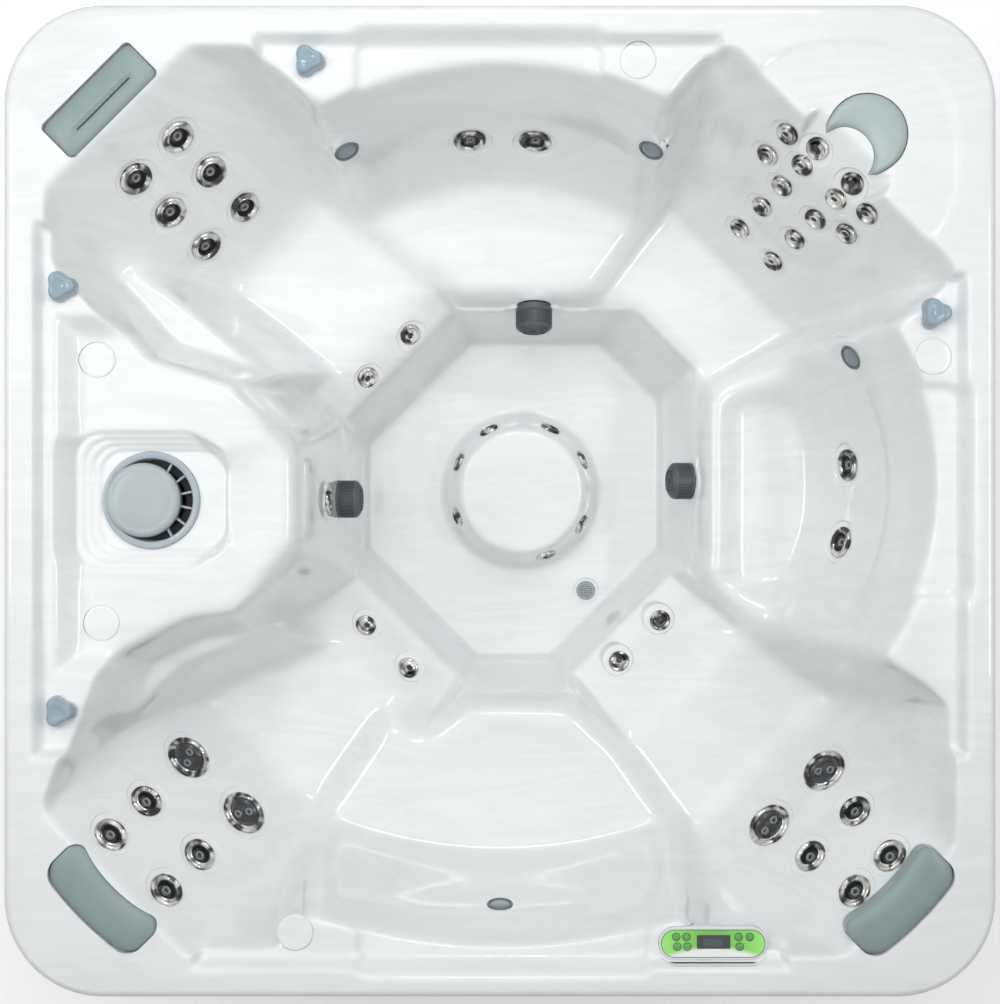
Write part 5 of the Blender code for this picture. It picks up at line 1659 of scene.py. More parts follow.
@dataclass
class JetSet:
    """All the jets: turning faces, two-hole rotors and the small fixed ones."""

    form: ShellForm
    medium: dict[str, list[Point]] = field(default_factory=lambda: {
        "top_left": [
            (1.082, -0.066), (1.082, 0.066), (1.009, -0.066), (1.009, 0.066), (0.929, -0.066), (0.929, 0.066),
        ],
        "bottom_right": [(1.081, -0.073), (1.081, 0.073), (1.160, -0.055), (1.160, 0.055)],
        "bottom_left": [(1.050, -0.086), (1.050, 0.086), (1.120, -0.086), (1.120, 0.086)],
    })
    large: dict[str, list[Point]] = field(default_factory=lambda: {
        "bottom_right": [(1.003, -0.093), (1.003, 0.093)], "bottom_left": [(0.955, -0.093), (0.955, 0.093)],
    })
    cluster: list[Point] = field(default_factory=lambda: [
        (1.036, 0.054), (1.000, 0.053), (0.962, 0.054), (0.922, 0.054), (0.876, 0.056), (1.015, 0.124),
        (0.978, 0.126),
    ])
    calf: dict[str, list[Point]] = field(default_factory=lambda: {
        "top_left": [(0.454, -0.015), (0.454, 0.137)], "bottom_left": [(0.460, -0.134), (0.460, 0.018)],
        "bottom_right": [(0.503, -0.074), (0.503, 0.074)],
    })
    dome_angles: tuple[int, ...] = (27, 65, 118, 155, 202, 291, 331)
    dome_radius: float = 0.184
    gap: float = 0.0006
    low_cup: SpotFace = SpotFace(1.30, 0.0030, 0.05, 4.5, 32)
    cups: dict[JetKind, SpotFace] = field(default_factory=lambda: {
        JetKind.MINI: SpotFace(1.50, 0.0030, 0.22, 4.5, 32),
        JetKind.MEDIUM: SpotFace(1.34, 0.0026, 0.10, 2.5),
        JetKind.LARGE: SpotFace(1.24, 0.0026, 0.05, 2.0, 48),
    })

    def places(self) -> list[JetPlace]:
        """Every jet in the shell.

        Returns:
            The jets, in the order in which they are built.
        """
        form, jets = self.form, []

        def seat_jet(name: str, kind: JetKind, group: str, seat: str, place: Point) -> None:
            """Adds a jet at a place on a seat's diagonal."""
            jets.append(JetPlace(name, kind, group, form.frame(*form.seat_point(seat, *place))))

        for seat, spots in self.medium.items():
            for index, spot in enumerate(spots):
                seat_jet(f"{seat}_jet_{index + 1}", JetKind.MEDIUM, seat, seat, spot)
        for index, side in enumerate((-0.0707, 0.0825)):
            place = form.wall_frame((side, 0.30), (0, 1), 0.60)
            jets.append(JetPlace(f"far_bench_jet_{index + 1}", JetKind.MEDIUM, "far_bench", place))
        for index, side in enumerate((0.086, -0.098)):
            place = form.wall_frame((0.52, side), (1, 0), 0.545)
            jets.append(JetPlace(f"right_bench_jet_{index + 1}", JetKind.MEDIUM, "right_bench", place))
        for seat, spots in self.large.items():
            for index, spot in enumerate(spots):
                seat_jet(f"{seat}_rotor_{index + 1}", JetKind.LARGE, seat, seat, spot)
        cluster = [(out, side * across) for out, across in self.cluster for side in (-1, 1)]
        for index, spot in enumerate(cluster):
            seat_jet(f"cluster_jet_{index + 1}", JetKind.MINI, "top_right", "top_right", spot)
        for seat, spots in self.calf.items():
            for index, spot in enumerate(spots):
                seat_jet(f"{seat}_calf_jet_{index + 1}", JetKind.MINI, "calf_" + seat, seat, spot)
        place = form.wall_frame((-0.30, 0.0), (-1, 0), 0.57)
        jets.append(JetPlace("left_wall_jet", JetKind.MINI, "left_wall", place))
        for index, angle in enumerate(self.dome_angles):
            x = DOME_CENTRE[0] + self.dome_radius * math.cos(math.radians(angle))
            y = DOME_CENTRE[1] + self.dome_radius * math.sin(math.radians(angle))
            jets.append(JetPlace(f"dome_jet_{index + 1}", JetKind.MINI, "dome", form.frame(x, y)))
        return jets

    def cut_into(self, shell: AcrylicShell) -> None:
        """Cuts every jet's hole and pad.

        Args:
            shell: The shell to cut.
        """
        for jet in self.places():
            radius = jet.kind.value
            cup = self.low_cup if jet.group in ("dome", "left_wall") else self.cups[jet.kind]
            shell.hole(
                jet.matrix, radius + self.gap, radius * cup.reach, depth=cup.depth, shift=radius * cup.shift,
                tilt=cup.tilt, sides=cup.sides,
            )

    def small_jet(self, jet: JetPlace, palette: Palette) -> None:
        """A fixed small jet: rounded bezel, shallow dish and an eye a little off its middle.

        Args:
            jet: Where it sits.
            palette: The finishes.
        """
        radius = jet.kind.value
        bezel = Shape.turned(rings(
            radius, (1.0, -12), (1.0, 0.4), (0.985, 1.8), (0.93, 3.3), (0.86, 4.0), (0.78, 3.5), (0.71, 1.9),
            (0.66, 0.4), (0.50, -1.2), (0.30, -1.9), (0, -2.0), (0, -12),
        ), 28)
        eye = Shape.turned(rings(
            radius, (0.44, -2.5), (0.43, 0.6), (0.38, 1.4), (0.31, 1.0), (0.27, -0.4), (0.26, -2.5),
        ), 20)
        # A black disc at the bottom of the eye's opening is painted shade.
        eye_shade = Shape.cylinder(0.27 * radius, -0.0024, -0.0009, 20).painted(1)
        lean = moved_to(-0.07 * radius, -0.05 * radius) @ leaned(7, "Y")
        bezel.join(eye.moved(lean)).join(eye_shade.moved(lean))
        thing = bezel.finish(jet.name, [palette.chrome, palette.black], TUB, matrix=jet.matrix)

    def bezel(self, jet: JetPlace, section: list[Point], sides: int, crest: Point, dents: int, dent: float,
              palette: Palette) -> None:
        """The bright bezel of a turning face, with shallow dents round its crest.

        Args:
            jet: The jet that it stands for.
            section: Its section.
            sides: Steps in its full turn.
            crest: From what share of the radius to what share the dents reach.
            dents: Half the number of dents.
            dent: How deep they go.
            palette: The finishes.
        """
        shape = Shape.turned(section, sides)
        for vertex in shape.bm.verts:
            reach = math.hypot(vertex.co.x, vertex.co.y) / jet.kind.value
            if crest[0] < reach < crest[1] and vertex.co.z > 0.001:
                vertex.co.z -= dent * max(0.0, math.cos(dents * math.atan2(vertex.co.y, vertex.co.x))) ** 2
        ring = shape.finish(
            jet.name + "_bezel", [palette.chrome], jet.name, matrix=jet.matrix, replaces=(jet.name,),
        )

    def nozzle(self, radius: float, low: float, high: float) -> Shape:
        """A short round nozzle with a rolled mouth, and a dark plug of painted shade down its bore.

        Args:
            radius: Its radius.
            low: Height of its lower end.
            high: Height of its upper end.

        Returns:
            The nozzle.
        """
        tip = Shape.turned([
            (radius, low), (radius, high - 0.0014), (radius * 0.94, high - 0.0003), (radius * 0.78, high),
            (radius * 0.60, high - 0.0010), (radius * 0.54, high - 0.004), (radius * 0.54, low),
        ], 24).painted(1)
        # The plug down the bore takes slot 0, a dark colour, as painted shade.
        return tip.join(Shape.cylinder(radius * 0.56, low, high - 0.0045, 16).painted(0))

    def medium_jet(self, jet: JetPlace, index: int, palette: Palette) -> None:
        """A turning face: scalloped bezel with a bright inner ring, and a throat with its nozzle.

        Args:
            jet: Where it sits.
            index: Its number, which turns its nozzles.
            palette: The finishes.
        """
        radius = jet.kind.value
        self.bezel(jet, rings(
            radius, (1.0, -11.8), (1.0, 0.3), (0.99, 1.7), (0.95, 3.1), (0.89, 3.9), (0.82, 3.6), (0.76, 2.3),
            (0.72, 1.1), (0.695, 1.5), (0.665, 2.4), (0.635, 2.0), (0.605, 0.2), (0.60, -11.8),
        ), 60, (0.75, 0.97), 12, 0.0007, palette)
        cup = Shape.turned(rings(
            radius, (0.598, -1.2), (0.598, -11.8), (0, -11.8), (0, -10.6), (0.44, -10.2), (0.53, -7.0),
            (0.568, -1.2),
        ), 40)
        aim = leaned(50 * index, "Z") @ moved_to(0.0022, 0)
        tip = self.nozzle(0.0105, -0.0108, -0.0022).moved(aim @ leaned(9, "Y"))
        skins = [palette.black, palette.nozzle]
        throat = cup.join(tip).finish(jet.name + "_throat", skins, jet.name, matrix=jet.matrix)

    def large_jet(self, jet: JetPlace, index: int, palette: Palette) -> None:
        """A rotor: bright bezel, thin inner ring, and a graphite dish with two nozzles.

        Args:
            jet: Where it sits.
            index: Its number, which turns its nozzles.
            palette: The finishes.
        """
        radius = jet.kind.value
        self.bezel(jet, rings(
            radius, (1.0, -11.8), (1.0, 0.3), (0.99, 1.9), (0.955, 3.2), (0.91, 3.9), (0.86, 3.4),
            (0.82, 2.0), (0.795, 0.9), (0.775, 1.6), (0.755, 2.3), (0.73, 1.8), (0.715, -0.5), (0.712, -11.8),
        ), 64, (0.81, 0.98), 16, 0.0008, palette)
        dish = Shape.turned(rings(
            radius, (0.71, -0.6), (0.71, -11.8), (0, -11.8), (0, -4.4), (0.12, -4.7), (0.24, -6.0),
            (0.42, -6.9), (0.56, -5.6), (0.64, -3.0), (0.68, -1.0),
        ), 44)
        turn = leaned(40 + 55 * index, "Z")
        for side in (-1, 1):
            tip = self.nozzle(0.0098, -0.0108, -0.0010)
            dish.join(tip.moved(turn @ moved_to(side * 0.0165, 0) @ leaned(side * 8, "X")))
        skins = [palette.graphite, palette.nozzle]
        bowl = dish.finish(jet.name + "_dish", skins, jet.name, matrix=jet.matrix)

    def build(self, palette: Palette) -> None:
        """Builds every jet.

        Args:
            palette: The finishes.
        """
        for index, jet in enumerate(self.places()):
            if jet.kind is JetKind.MINI:
                self.small_jet(jet, palette)
            elif jet.kind is JetKind.MEDIUM:
                self.medium_jet(jet, index, palette)
            else:
                self.large_jet(jet, index, palette)


@dataclass
class WallFittings:
    """Lights, suction covers and the floor drain."""

    form: ShellForm
    light_radius: float = 0.030
    suction_radius: float = 0.046
    suction_proud: float = 0.055
    drain_radius: float = 0.025
    drain_centre: Point = (0.231, -0.240)
    gap: float = 0.0005
    ribs: int = 40
    bars: int = 12

    def lights(self) -> dict[str, Matrix]:
        """The lights and their places.

        Returns:
            Their places, by name.
        """
        form = self.form
        return {
            "far_light_1": form.wall_frame(BACK_ARCS["far"][0], (-0.469, 0.883), 0.70),
            "far_light_2": form.wall_frame((-0.006, 0.14), (0.469, 0.883), 0.70),
            "right_light": form.wall_frame(BACK_ARCS["right"][0], (0.863, 0.505), 0.69),
            "near_light": form.wall_frame(BACK_ARCS["near"][0], (0.0, -1.0), 0.70),
        }

    def suctions(self) -> dict[str, Matrix]:
        """The suction covers and their places.

        Returns:
            Their places, by name.
        """
        form = self.form
        return {
            "far_suction_cover": form.wall_frame((0.085, 0.20), (0, 1), 0.37),
            "right_suction_cover": form.wall_frame((0.25, 0.051), (1, 0), 0.34),
            "left_suction_cover": form.wall_frame((-0.15, 0.005), (-1, 0), 0.45),
        }

    def holes(self) -> list[tuple[Vector, float]]:
        """The middle and radius of each fitting."""
        lights = [(place.translation, self.light_radius) for place in self.lights().values()]
        return lights + [(place.translation, self.suction_radius) for place in self.suctions().values()]

    def cut_into(self, shell: AcrylicShell) -> None:
        """Cuts the fittings' holes.

        Args:
            shell: The shell to cut.
        """
        for place in self.lights().values():
            shell.hole(place, self.light_radius + self.gap, 0.0, front=0.004, sides=32)
        for place in self.suctions().values():
            shell.hole(place, self.suction_radius + self.gap, 0.0)
        drain = self.form.frame(*self.drain_centre)
        shell.hole(drain, self.drain_radius + self.gap, self.drain_radius * 1.3, depth=0.003)

    def light(self, name: str, place: Matrix, palette: Palette) -> None:
        """A frosted lens in a soft ring.

        Args:
            name: Its node's name.
            place: Where it sits.
            palette: The finishes.
        """
        lens = Shape.turned(millimetres(
            (0, 3.9), (8, 3.8), (15, 3.3), (20, 2.4), (23.2, 0.8), (23.6, -19.5), (0, -19.5),
        ), 36)
        ring = Shape.turned(millimetres(
            (24, -1), (24, 1.2), (25, 3), (26.6, 3.9), (28.4, 3.4), (29.7, 1.8), (30, -0.2), (30, -1),
        ), 40).painted(1)
        body = Shape.turned(millimetres((23.8, -19.5), (23.8, -1.1), (30, -1.1), (30, -19.5)), 40).painted(2)
        skins = [palette.lens, palette.lens_ring, palette.acrylic]
        thing = lens.join(ring).join(body).finish(name + "_lens", skins, TUB, matrix=place, replaces=(name,))

    def suction(self, name: str, place: Matrix, palette: Palette) -> None:
        """A deep slotted cover: flange, ribbed side, stepped shoulder and a barred front, with painted shade
        behind the bars.

        Args:
            name: Its node's name.
            place: Where it sits.
            palette: The finishes.
        """
        front, radius = self.suction_proud, self.suction_radius * 1000
        crest = front * 1000
        core = Shape.turned(millimetres(
            (0, crest - 4.5), (29, crest - 4.5), (30, crest - 1), (31.6, crest), (33.2, crest - 1),
            (34, crest - 3.2), (35.6, crest - 2.2), (37.2, crest - 3.4), (38, crest - 5.6),
            (39.6, crest - 4.8), (41.2, crest - 6.4), (42, crest - 8.6), (43.6, crest - 8), (45, crest - 9.8),
            (45.5, crest - 13), (43, crest - 14), (43, 7.5), (44.8, 6.8), (45.9, 5.2), (radius, 3),
            (radius, -10), (23, -10), (23, -29.5), (0, -29.5),
        ), 60)
        height = front - 0.0140 - 0.0070
        for turn in full_turn(self.ribs):
            rib = Shape.box((0.0034, 0.0030, height), (0.0440, 0, 0.0070 + height / 2)).bevel(0.0006, 1)
            core.join(rib.moved(turn))
        for reach in (8.5, 15, 21.5, 27.5):
            inner, outer, low, high = reach - 1, reach + 1, crest - 5, crest - 2.2
            hoop = millimetres((inner - 0.3, low), (inner, high), (outer, high), (outer + 0.3, low))
            core.join(Shape.turned(hoop, 36))
        for turn in full_turn(self.bars):
            core.join(Shape.box((0.022, 0.0020, 0.0024), (0.0180, 0, front - 0.0030)).moved(turn))
        # A black disc behind the bars is painted shade in the grille's openings.
        core.join(Shape.cylinder(0.0288, front - 0.0046, front - 0.0042, 36).painted(1))
        skins = [palette.slate, palette.black]
        thing = core.finish(name + "_grille", skins, TUB, matrix=place, replaces=(name,))

    def drain(self, palette: Palette) -> None:
        """A dished grate with rings of small black discs that are painted shade for its holes.

        Args:
            palette: The finishes.
        """
        radius = self.drain_radius * 1000
        grate = Shape.turned(millimetres(
            (0, 1.2), (14, 1), (20, 0.4), (21.2, 1.4), (22.8, 2), (24.4, 1.4), (radius, -0.6),
            (radius, -19.5), (0, -19.5),
        ), 40)
        for reach, count in ((0.0, 1), (0.0055, 6), (0.0105, 12), (0.0155, 18)):
            for turn in full_turn(count):
                # Each black disc is painted shade where a hole would be; no hole is cut.
                hole = Shape.cylinder(0.0015, -0.0002, 0.0013, 10).painted(1)
                grate.join(hole.moved(turn @ moved_to(reach, 0)))
        thing = grate.finish(
            "drain_grate", [palette.drain, palette.black], TUB, matrix=self.form.frame(*self.drain_centre),
            replaces=("floor_drain",),
        )

    def build(self, palette: Palette) -> None:
        """Builds every fitting.

        Args:
            palette: The finishes.
        """
        for name, place in self.lights().items():
            self.light(name, place, palette)
        for name, place in self.suctions().items():
            self.suction(name, place, palette)
        self.drain(palette)


@dataclass
class ValveKnobs:
    """Three-lobed resin knobs on their valve stems."""

    form: ShellForm
    radius: float = 0.0325
    lobe: float = 0.12
    waist: float = 0.19
    stem_radius: float = 0.016
    gap: float = 0.0006
    rise: float = 0.0033

    def cut_into(self, shell: AcrylicShell) -> None:
        """Cuts the stems' holes.

        Args:
            shell: The shell to cut.
        """
        for place in KNOBS.values():
            deck = moved_to(*place, float(self.form.surface(*place)))
            shell.hole(deck, self.stem_radius + self.gap, 0.0, sides=24)

    def build(self, palette: Palette) -> None:
        """Builds each knob on its own body.

        Args:
            palette: The finishes.
        """
        for name, place in KNOBS.items():
            cap = Shape.turned(rings(
                self.radius, (0, 0), (0.93, 0), (0.985, 0.8), (1.0, 2.4), (0.995, 6), (0.965, 13),
                (0.915, 20), (0.86, 25), (0.79, 28.2), (0.68, 29.8), (0.56, 29.9), (0.44, 29.2), (0.34, 27.6),
                (0.22, 26.6), (0, 26.3),
            ), 90)
            for vertex in cap.bm.verts:
                reach = math.hypot(vertex.co.x, vertex.co.y) / self.radius
                wave = math.cos(3 * math.atan2(vertex.co.y, vertex.co.x))
                grow = 1 + min(1.0, reach * 1.5) * (self.lobe if wave > 0 else self.waist) * wave
                vertex.co.x *= grow
                vertex.co.y *= grow
            seat = moved_to(*place, float(self.form.surface(*place)) + self.rise)
            thing = cap.finish(name + "_cap", [palette.knob], name, matrix=seat, replaces=(name,), smooth=50)


@dataclass
class FilterWell:
    """The filter's collar and can, the spokes of its skimmer gap, the cartridge and the lid."""

    radius: float = 0.108
    gap: float = 0.0006
    wall: float = 0.006
    base: float = 0.30
    top: float = 0.805
    ledge: float = 0.765
    ledge_radius: float = 0.071
    lid_radius: float = 0.083
    lid_offset: float = 0.0165
    pleats: int = 64
    pleat_reach: Point = (0.050, 0.0625)
    cartridge_top: float = 0.6463
    cartridge_bore: float = 0.024
    spokes: tuple[int, ...] = (-62, -37, -12, 12, 37, 62)

    def cut_into(self, shell: AcrylicShell) -> None:
        """Cuts the can's hole through the filter deck."""
        cut = Shape.cylinder(self.radius + self.gap, self.ledge - 0.02, 0.95, 72)
        shell.cutters.append(cut.moved(moved_to(*FILTER_CENTRE)))

    def build_can(self, palette: Palette) -> None:
        """The can with its wide collar, the spokes over the gap that the water runs into, and a black ring of
        painted shade at the gap's bottom.

        Args:
            palette: The finishes.
        """
        top, ledge, wall = self.top, self.ledge, self.wall
        bore = self.radius - wall
        can = Shape.turned([
            (self.radius, self.base), (self.radius, top - 0.003), (0.1072, top - 0.0010), (0.1055, top),
            (0.0985, top - 0.0006), (0.0935, top - 0.0030), (0.0915, top - 0.0075), (0.0912, ledge),
            (self.ledge_radius, ledge), (self.ledge_radius, ledge - wall), (bore, ledge - wall - 0.004),
            (bore, self.base + wall), (0, self.base + wall), (0, self.base),
        ], 72)
        for angle in self.spokes:
            spoke = Shape.box((0.040, 0.0050, 0.024), (0.0720, 0, ledge + 0.0125)).bevel(0.001, 2)
            can.join(spoke.moved(leaned(angle, "Z")))
        # A thin black ring at the bottom of the gap between the spokes is painted shade.
        gap_shade = Shape.turned([
            (0.0905, ledge + 0.0004), (0.0905, ledge + 0.0014), (self.ledge_radius, ledge + 0.0014),
            (self.ledge_radius, ledge + 0.0004),
        ], 60).painted(1)
        thing = can.join(gap_shade).finish(
            "filter_collar", [palette.collar, palette.slot], TUB, matrix=moved_to(*FILTER_CENTRE),
            replaces=("filter_canister",),
        )

    def build_cartridge(self, palette: Palette) -> None:
        """The pleated cartridge between its two end caps, with a black disc of painted shade down its bore.

        Args:
            palette: The finishes.
        """
        low, high, bore = self.base + self.wall + 0.0003, self.cartridge_top, self.cartridge_bore
        points = []
        for index in range(2 * self.pleats):
            angle = math.tau * index / (2 * self.pleats)
            reach = self.pleat_reach[index % 2]
            points.append((reach * math.cos(angle), reach * math.sin(angle)))
        paper = Shape.outline(points, low + 0.008, high - 0.008)
        for bottom in (low, high - 0.010):
            top = bottom + 0.010
            cap = Shape.turned([(bore, bottom), (0.064, bottom), (0.064, top), (bore, top)], 48)
            paper.join(cap.bevel(0.0015, 2).painted(1))
        # A black disc just inside the bore's top is painted shade.
        paper.join(Shape.cylinder(bore * 0.98, high - 0.006, high - 0.005, 24).painted(2))
        thing = paper.finish(
            "pleated_cartridge", [palette.paper, palette.motor, palette.slot], TUB,
            matrix=moved_to(*FILTER_CENTRE), replaces=("filter_cartridge",), smooth=20,
        )

    def build_lid(self, palette: Palette) -> None:
        """The lid: a shallow crown inside a soft rim, with its skirt below.

        Args:
            palette: The finishes.
        """
        top, edge, low = self.top, self.top - self.wall, self.ledge + 0.0018
        lid = Shape.turned([
            (0, top + 0.0148), (0.024, top + 0.0146), (0.048, top + 0.0136), (0.062, top + 0.0118),
            (0.0665, top + 0.0105), (0.0690, top + 0.0112), (0.0725, top + 0.0108), (0.0765, top + 0.0085),
            (0.0800, top + 0.0050), (0.0822, top + 0.0008), (self.lid_radius, edge + 0.0035),
            (0.0822, edge + 0.0006), (0.0805, edge), (0.0790, edge - 0.0004), (0.0790, low), (0.0730, low),
            (0.0730, edge), (0, edge),
        ], 72)
        place = moved_to(FILTER_CENTRE[0] - self.lid_offset, FILTER_CENTRE[1])
        thing = lid.finish(
            "filter_lid_cover", [palette.lid], "filter_lid", matrix=place, replaces=("filter_lid",),
        )

    def build(self, palette: Palette) -> None:
        """Builds the can, the cartridge and the lid.

        Args:
            palette: The finishes.
        """
        self.build_can(palette)
        self.build_cartridge(palette)
        self.build_lid(palette)


@dataclass
class TopsideControl:
    """The long control on the near deck: bezel, coloured film, window, display and seven buttons."""

    form: ShellForm
    centre: Point = (0.461, -0.957)
    length: float = 0.236
    width: float = 0.071
    proud: float = 0.004
    depth: float = 0.020
    button_radius: float = 0.0075
    button_rise: float = 0.0025
    buttons: tuple[Point, ...] = (
        (-0.080, 0.0145), (-0.058, 0.0145), (-0.078, -0.0065), (-0.056, -0.0065), (0.055, 0.0145),
        (0.079, 0.0145), (0.057, -0.0065),
    )

    def stadium(self, inset: float) -> list[Point]:
        """The control's outline, drawn in by an inset."""
        half_width = self.width / 2 - inset
        return rounded_outline(self.length / 2 - inset, half_width, half_width - 1e-4, 16)

    def cut_into(self, shell: AcrylicShell) -> None:
        """Cuts the control's opening in the deck, and a shallow step round it.

        Args:
            shell: The shell to cut.
        """
        place = moved_to(*self.centre)
        deck = self.form.side_deck
        shell.cutters.append(Shape.outline(self.stadium(-0.0005), deck - 0.035, deck + 0.035).moved(place))
        shell.cutters.append(Shape.outline(self.stadium(-0.0075), deck - 0.0010, deck + 0.035).moved(place))

    def build(self, palette: Palette) -> None:
        """Builds the control and its buttons.

        Args:
            palette: The finishes.
        """
        deck = self.form.side_deck
        top = deck + self.proud
        body = Shape.outline(self.stadium(0.0), deck - self.depth + 0.0005, top - 0.0003).bevel(0.0022, 4)
        # A thin black ring just under the film's edge is painted shade, the shadow line between film and
        # bezel.
        shade_line = Shape.outline(self.stadium(0.0052), top - 0.0006, top - 0.0001).painted(1)
        film = Shape.outline(self.stadium(0.0066), top - 0.0005, top).painted(2)
        window = Shape.outline(rounded_outline(0.0364, 0.0148, 0.002, 4), top - 0.0002, top + 0.0005)
        window.bevel(0.0003, 2).painted(3).moved(moved_to(0.0008, 0.0038))
        display = Shape.outline(rounded_outline(0.0208, 0.0078, 0.0006, 3), top + 0.0004, top + 0.0007)
        display.painted(4).moved(moved_to(-0.0004, 0.0022))
        body.join(shade_line).join(film).join(window).join(display)
        for x, y in self.buttons:
            low, high = top - 0.0002, top + 0.0003
            # A thin black ring round each button is painted shade in the gap round it.
            ring = Shape.turned([(0.0078, low), (0.0078, high), (0.0092, high), (0.0092, low)], 28).painted(1)
            body.join(ring.moved(moved_to(x, y)))
        skins = [palette.bezel, palette.slot, palette.overlay, palette.window, palette.display]
        thing = body.finish(
            "control_housing", skins, TUB, matrix=moved_to(*self.centre), replaces=("topside_housing",),
        )
        self.build_buttons(top, palette)

    def build_buttons(self, top: float, palette: Palette) -> None:
        """Builds the sprung buttons, each on its own body.

        Args:
            top: Height of the control's face.
            palette: The finishes.
        """
        radius, rise = self.button_radius, self.button_rise
        for index, (x, y) in enumerate(self.buttons):
            name = f"button_{index + 1}"
            dome = Shape.turned([
                (0, top + rise), (radius * 0.4, top + rise * 0.93), (radius * 0.72, top + rise * 0.68),
                (radius * 0.92, top + rise * 0.30), (radius * 0.99, top - 0.0004),
                (radius * 0.99, top - 0.0036), (0, top - 0.0036),
            ], 28)
            spot = moved_to(self.centre[0] + x, self.centre[1] + y)
            cap = dome.finish(name + "_dome", [palette.button], name, matrix=spot, replaces=(name,))


class PillowForm(Enum):
    """The pillows' forms."""

    SLOTTED = "straight, with a slot that water falls from"
    CURVED = "bent in at both ends"
    CRESCENT = "round outside and hollow inside"


@dataclass
class HeadPillows:
    """Moulded foam head pillows: a slotted bolster, two bent ones and a crescent."""

    form: ShellForm
    length: float = 0.262
    depth: float = 0.0955
    thick: float = 0.0560
    gap: float = 0.0012
    cells: int = 44
    kinds: dict[str, PillowForm] = field(default_factory=lambda: {
        "top_left": PillowForm.SLOTTED, "bottom_left": PillowForm.CURVED, "bottom_right": PillowForm.CURVED,
        "top_right": PillowForm.CRESCENT,
    })

    def plan(self, kind: PillowForm, w: float, u: float, grow: float = 0.0) -> Point:
        """Maps a square onto a pillow's plan.

        Args:
            kind: The pillow's form.
            w: From -1 on the bather's side to 1 on the outer side.
            u: From -1 to 1 along the pillow.
            grow: How far the outline is pushed out.

        Returns:
            The point, outward and along.
        """
        if kind is PillowForm.CRESCENT:
            outer, inner = 0.087 + grow, 0.069 - grow
            reach = grow / 0.075
            far = math.radians(118) * u * (1 + reach * 0.2)
            near = math.radians(70) * u * (1 + reach * 0.3)
            far_x, far_y = CRESCENT_OUTER + outer * math.cos(far), outer * math.sin(far)
            near_x, near_y = CRESCENT_HOLLOW + inner * math.cos(near), inner * math.sin(near)
            share = (w + 1) / 2
            return near_x + (far_x - near_x) * share, near_y + (far_y - near_y) * share
        half = (self.depth / 2 + grow, self.length / 2 + grow)
        corner = 0.012 if kind is PillowForm.SLOTTED else 0.033
        x, y = round_corners(np.array(w * half[0]), np.array(u * half[1]), half, corner)
        x, y = float(x), float(y)
        if kind is PillowForm.SLOTTED:
            return x, y
        along = y / half[1]
        return x - 0.0205 * along ** 2 * (1 - 0.42 * (x / half[0] + 1) / 2), y

    def placed(self, seat: str) -> Matrix:
        """Where a seat's pillow goes, standing on the floor of its pocket.

        Args:
            seat: The seat's name.

        Returns:
            The matrix.
        """
        outward, kind = SEATS[seat][0], self.kinds[seat]
        reach = 0.0
        if kind is not PillowForm.CRESCENT:
            reach = PILLOW_DISTANCE[seat] + (0.0 if kind is PillowForm.SLOTTED else 0.0100)
        turn = Matrix.Rotation(math.atan2(outward[1], outward[0]), 4, "Z")
        base = self.form.pillow_pocket + 0.0004
        return Matrix.Translation((outward[0] * reach, outward[1] * reach, base)) @ turn

    def cut_into(self, shell: AcrylicShell) -> None:
        """Cuts a close pocket for each pillow.

        Args:
            shell: The shell to cut.
        """
        sides, steps = ((-1, -1), (1, -1), (1, 1), (-1, 1)), 28
        for seat, kind in self.kinds.items():
            points = []
            for (w, u), (next_w, next_u) in zip(sides, sides[1:] + sides[:1]):
                for step in range(steps):
                    t = step / steps
                    points.append(self.plan(kind, w + (next_w - w) * t, u + (next_u - u) * t, self.gap))
            shell.cutters.append(Shape.outline(points, -0.0004, 0.080).moved(self.placed(seat)))

    def cushion(self, kind: PillowForm) -> Shape:
        """A crowned closed cushion standing on its base.

        Args:
            kind: The pillow's form.

        Returns:
            The cushion.
        """
        shape = Shape()
        bmesh.ops.create_cube(shape.bm, size=2)
        cuts = self.cells // 2 - 1
        bmesh.ops.subdivide_edges(shape.bm, edges=shape.bm.edges, cuts=cuts, use_grid_fill=True)
        blunt = 9.0 if kind is PillowForm.SLOTTED else 5.0
        for vertex in shape.bm.verts:
            w, u, lift = vertex.co.x, vertex.co.y, (vertex.co.z + 1) / 2
            crown = 0.70 + 0.30 * (1 - abs(w * 0.99) ** 2.6) ** 0.6
            ends = 0.80 + 0.20 * (1 - abs(u * 0.99) ** blunt) ** 0.6
            height = self.thick * crown * ends
            tuck = 0.0
            if lift < 0.6:
                tuck = -0.0022 * (1 - math.sin(math.pi * min(1.0, 0.15 + lift * 0.85)))
            x, y = self.plan(kind, w, u, tuck)
            if kind is PillowForm.SLOTTED:
                reach = max(0.0, abs(y) - 0.086)
                height -= 0.0085 * math.exp(-((x + 0.012) ** 2 + reach ** 2) / 0.0046 ** 2) * lift
                height -= 0.0022 * math.exp(-(((x + 0.026) / 0.009) ** 2 + (reach / 0.02) ** 2)) * lift
            vertex.co = (x, y, height * lift)
        return shape

    def build(self, palette: Palette) -> None:
        """Builds the four pillows, and a black piece of painted shade in the slotted one's waterfall slot.

        Args:
            palette: The finishes.
        """
        for seat, kind in self.kinds.items():
            place = self.placed(seat)
            skin = palette.pale_pillow if kind is PillowForm.CRESCENT else palette.pillow
            thing = self.cushion(kind).finish(
                seat + "_cushion", [skin], TUB, matrix=place, smooth=75, replaces=(seat + "_pillow",),
            )
            soft = thing.modifiers.new("soft", "SUBSURF")
            soft.levels = soft.render_levels = 1
            if kind is PillowForm.SLOTTED:
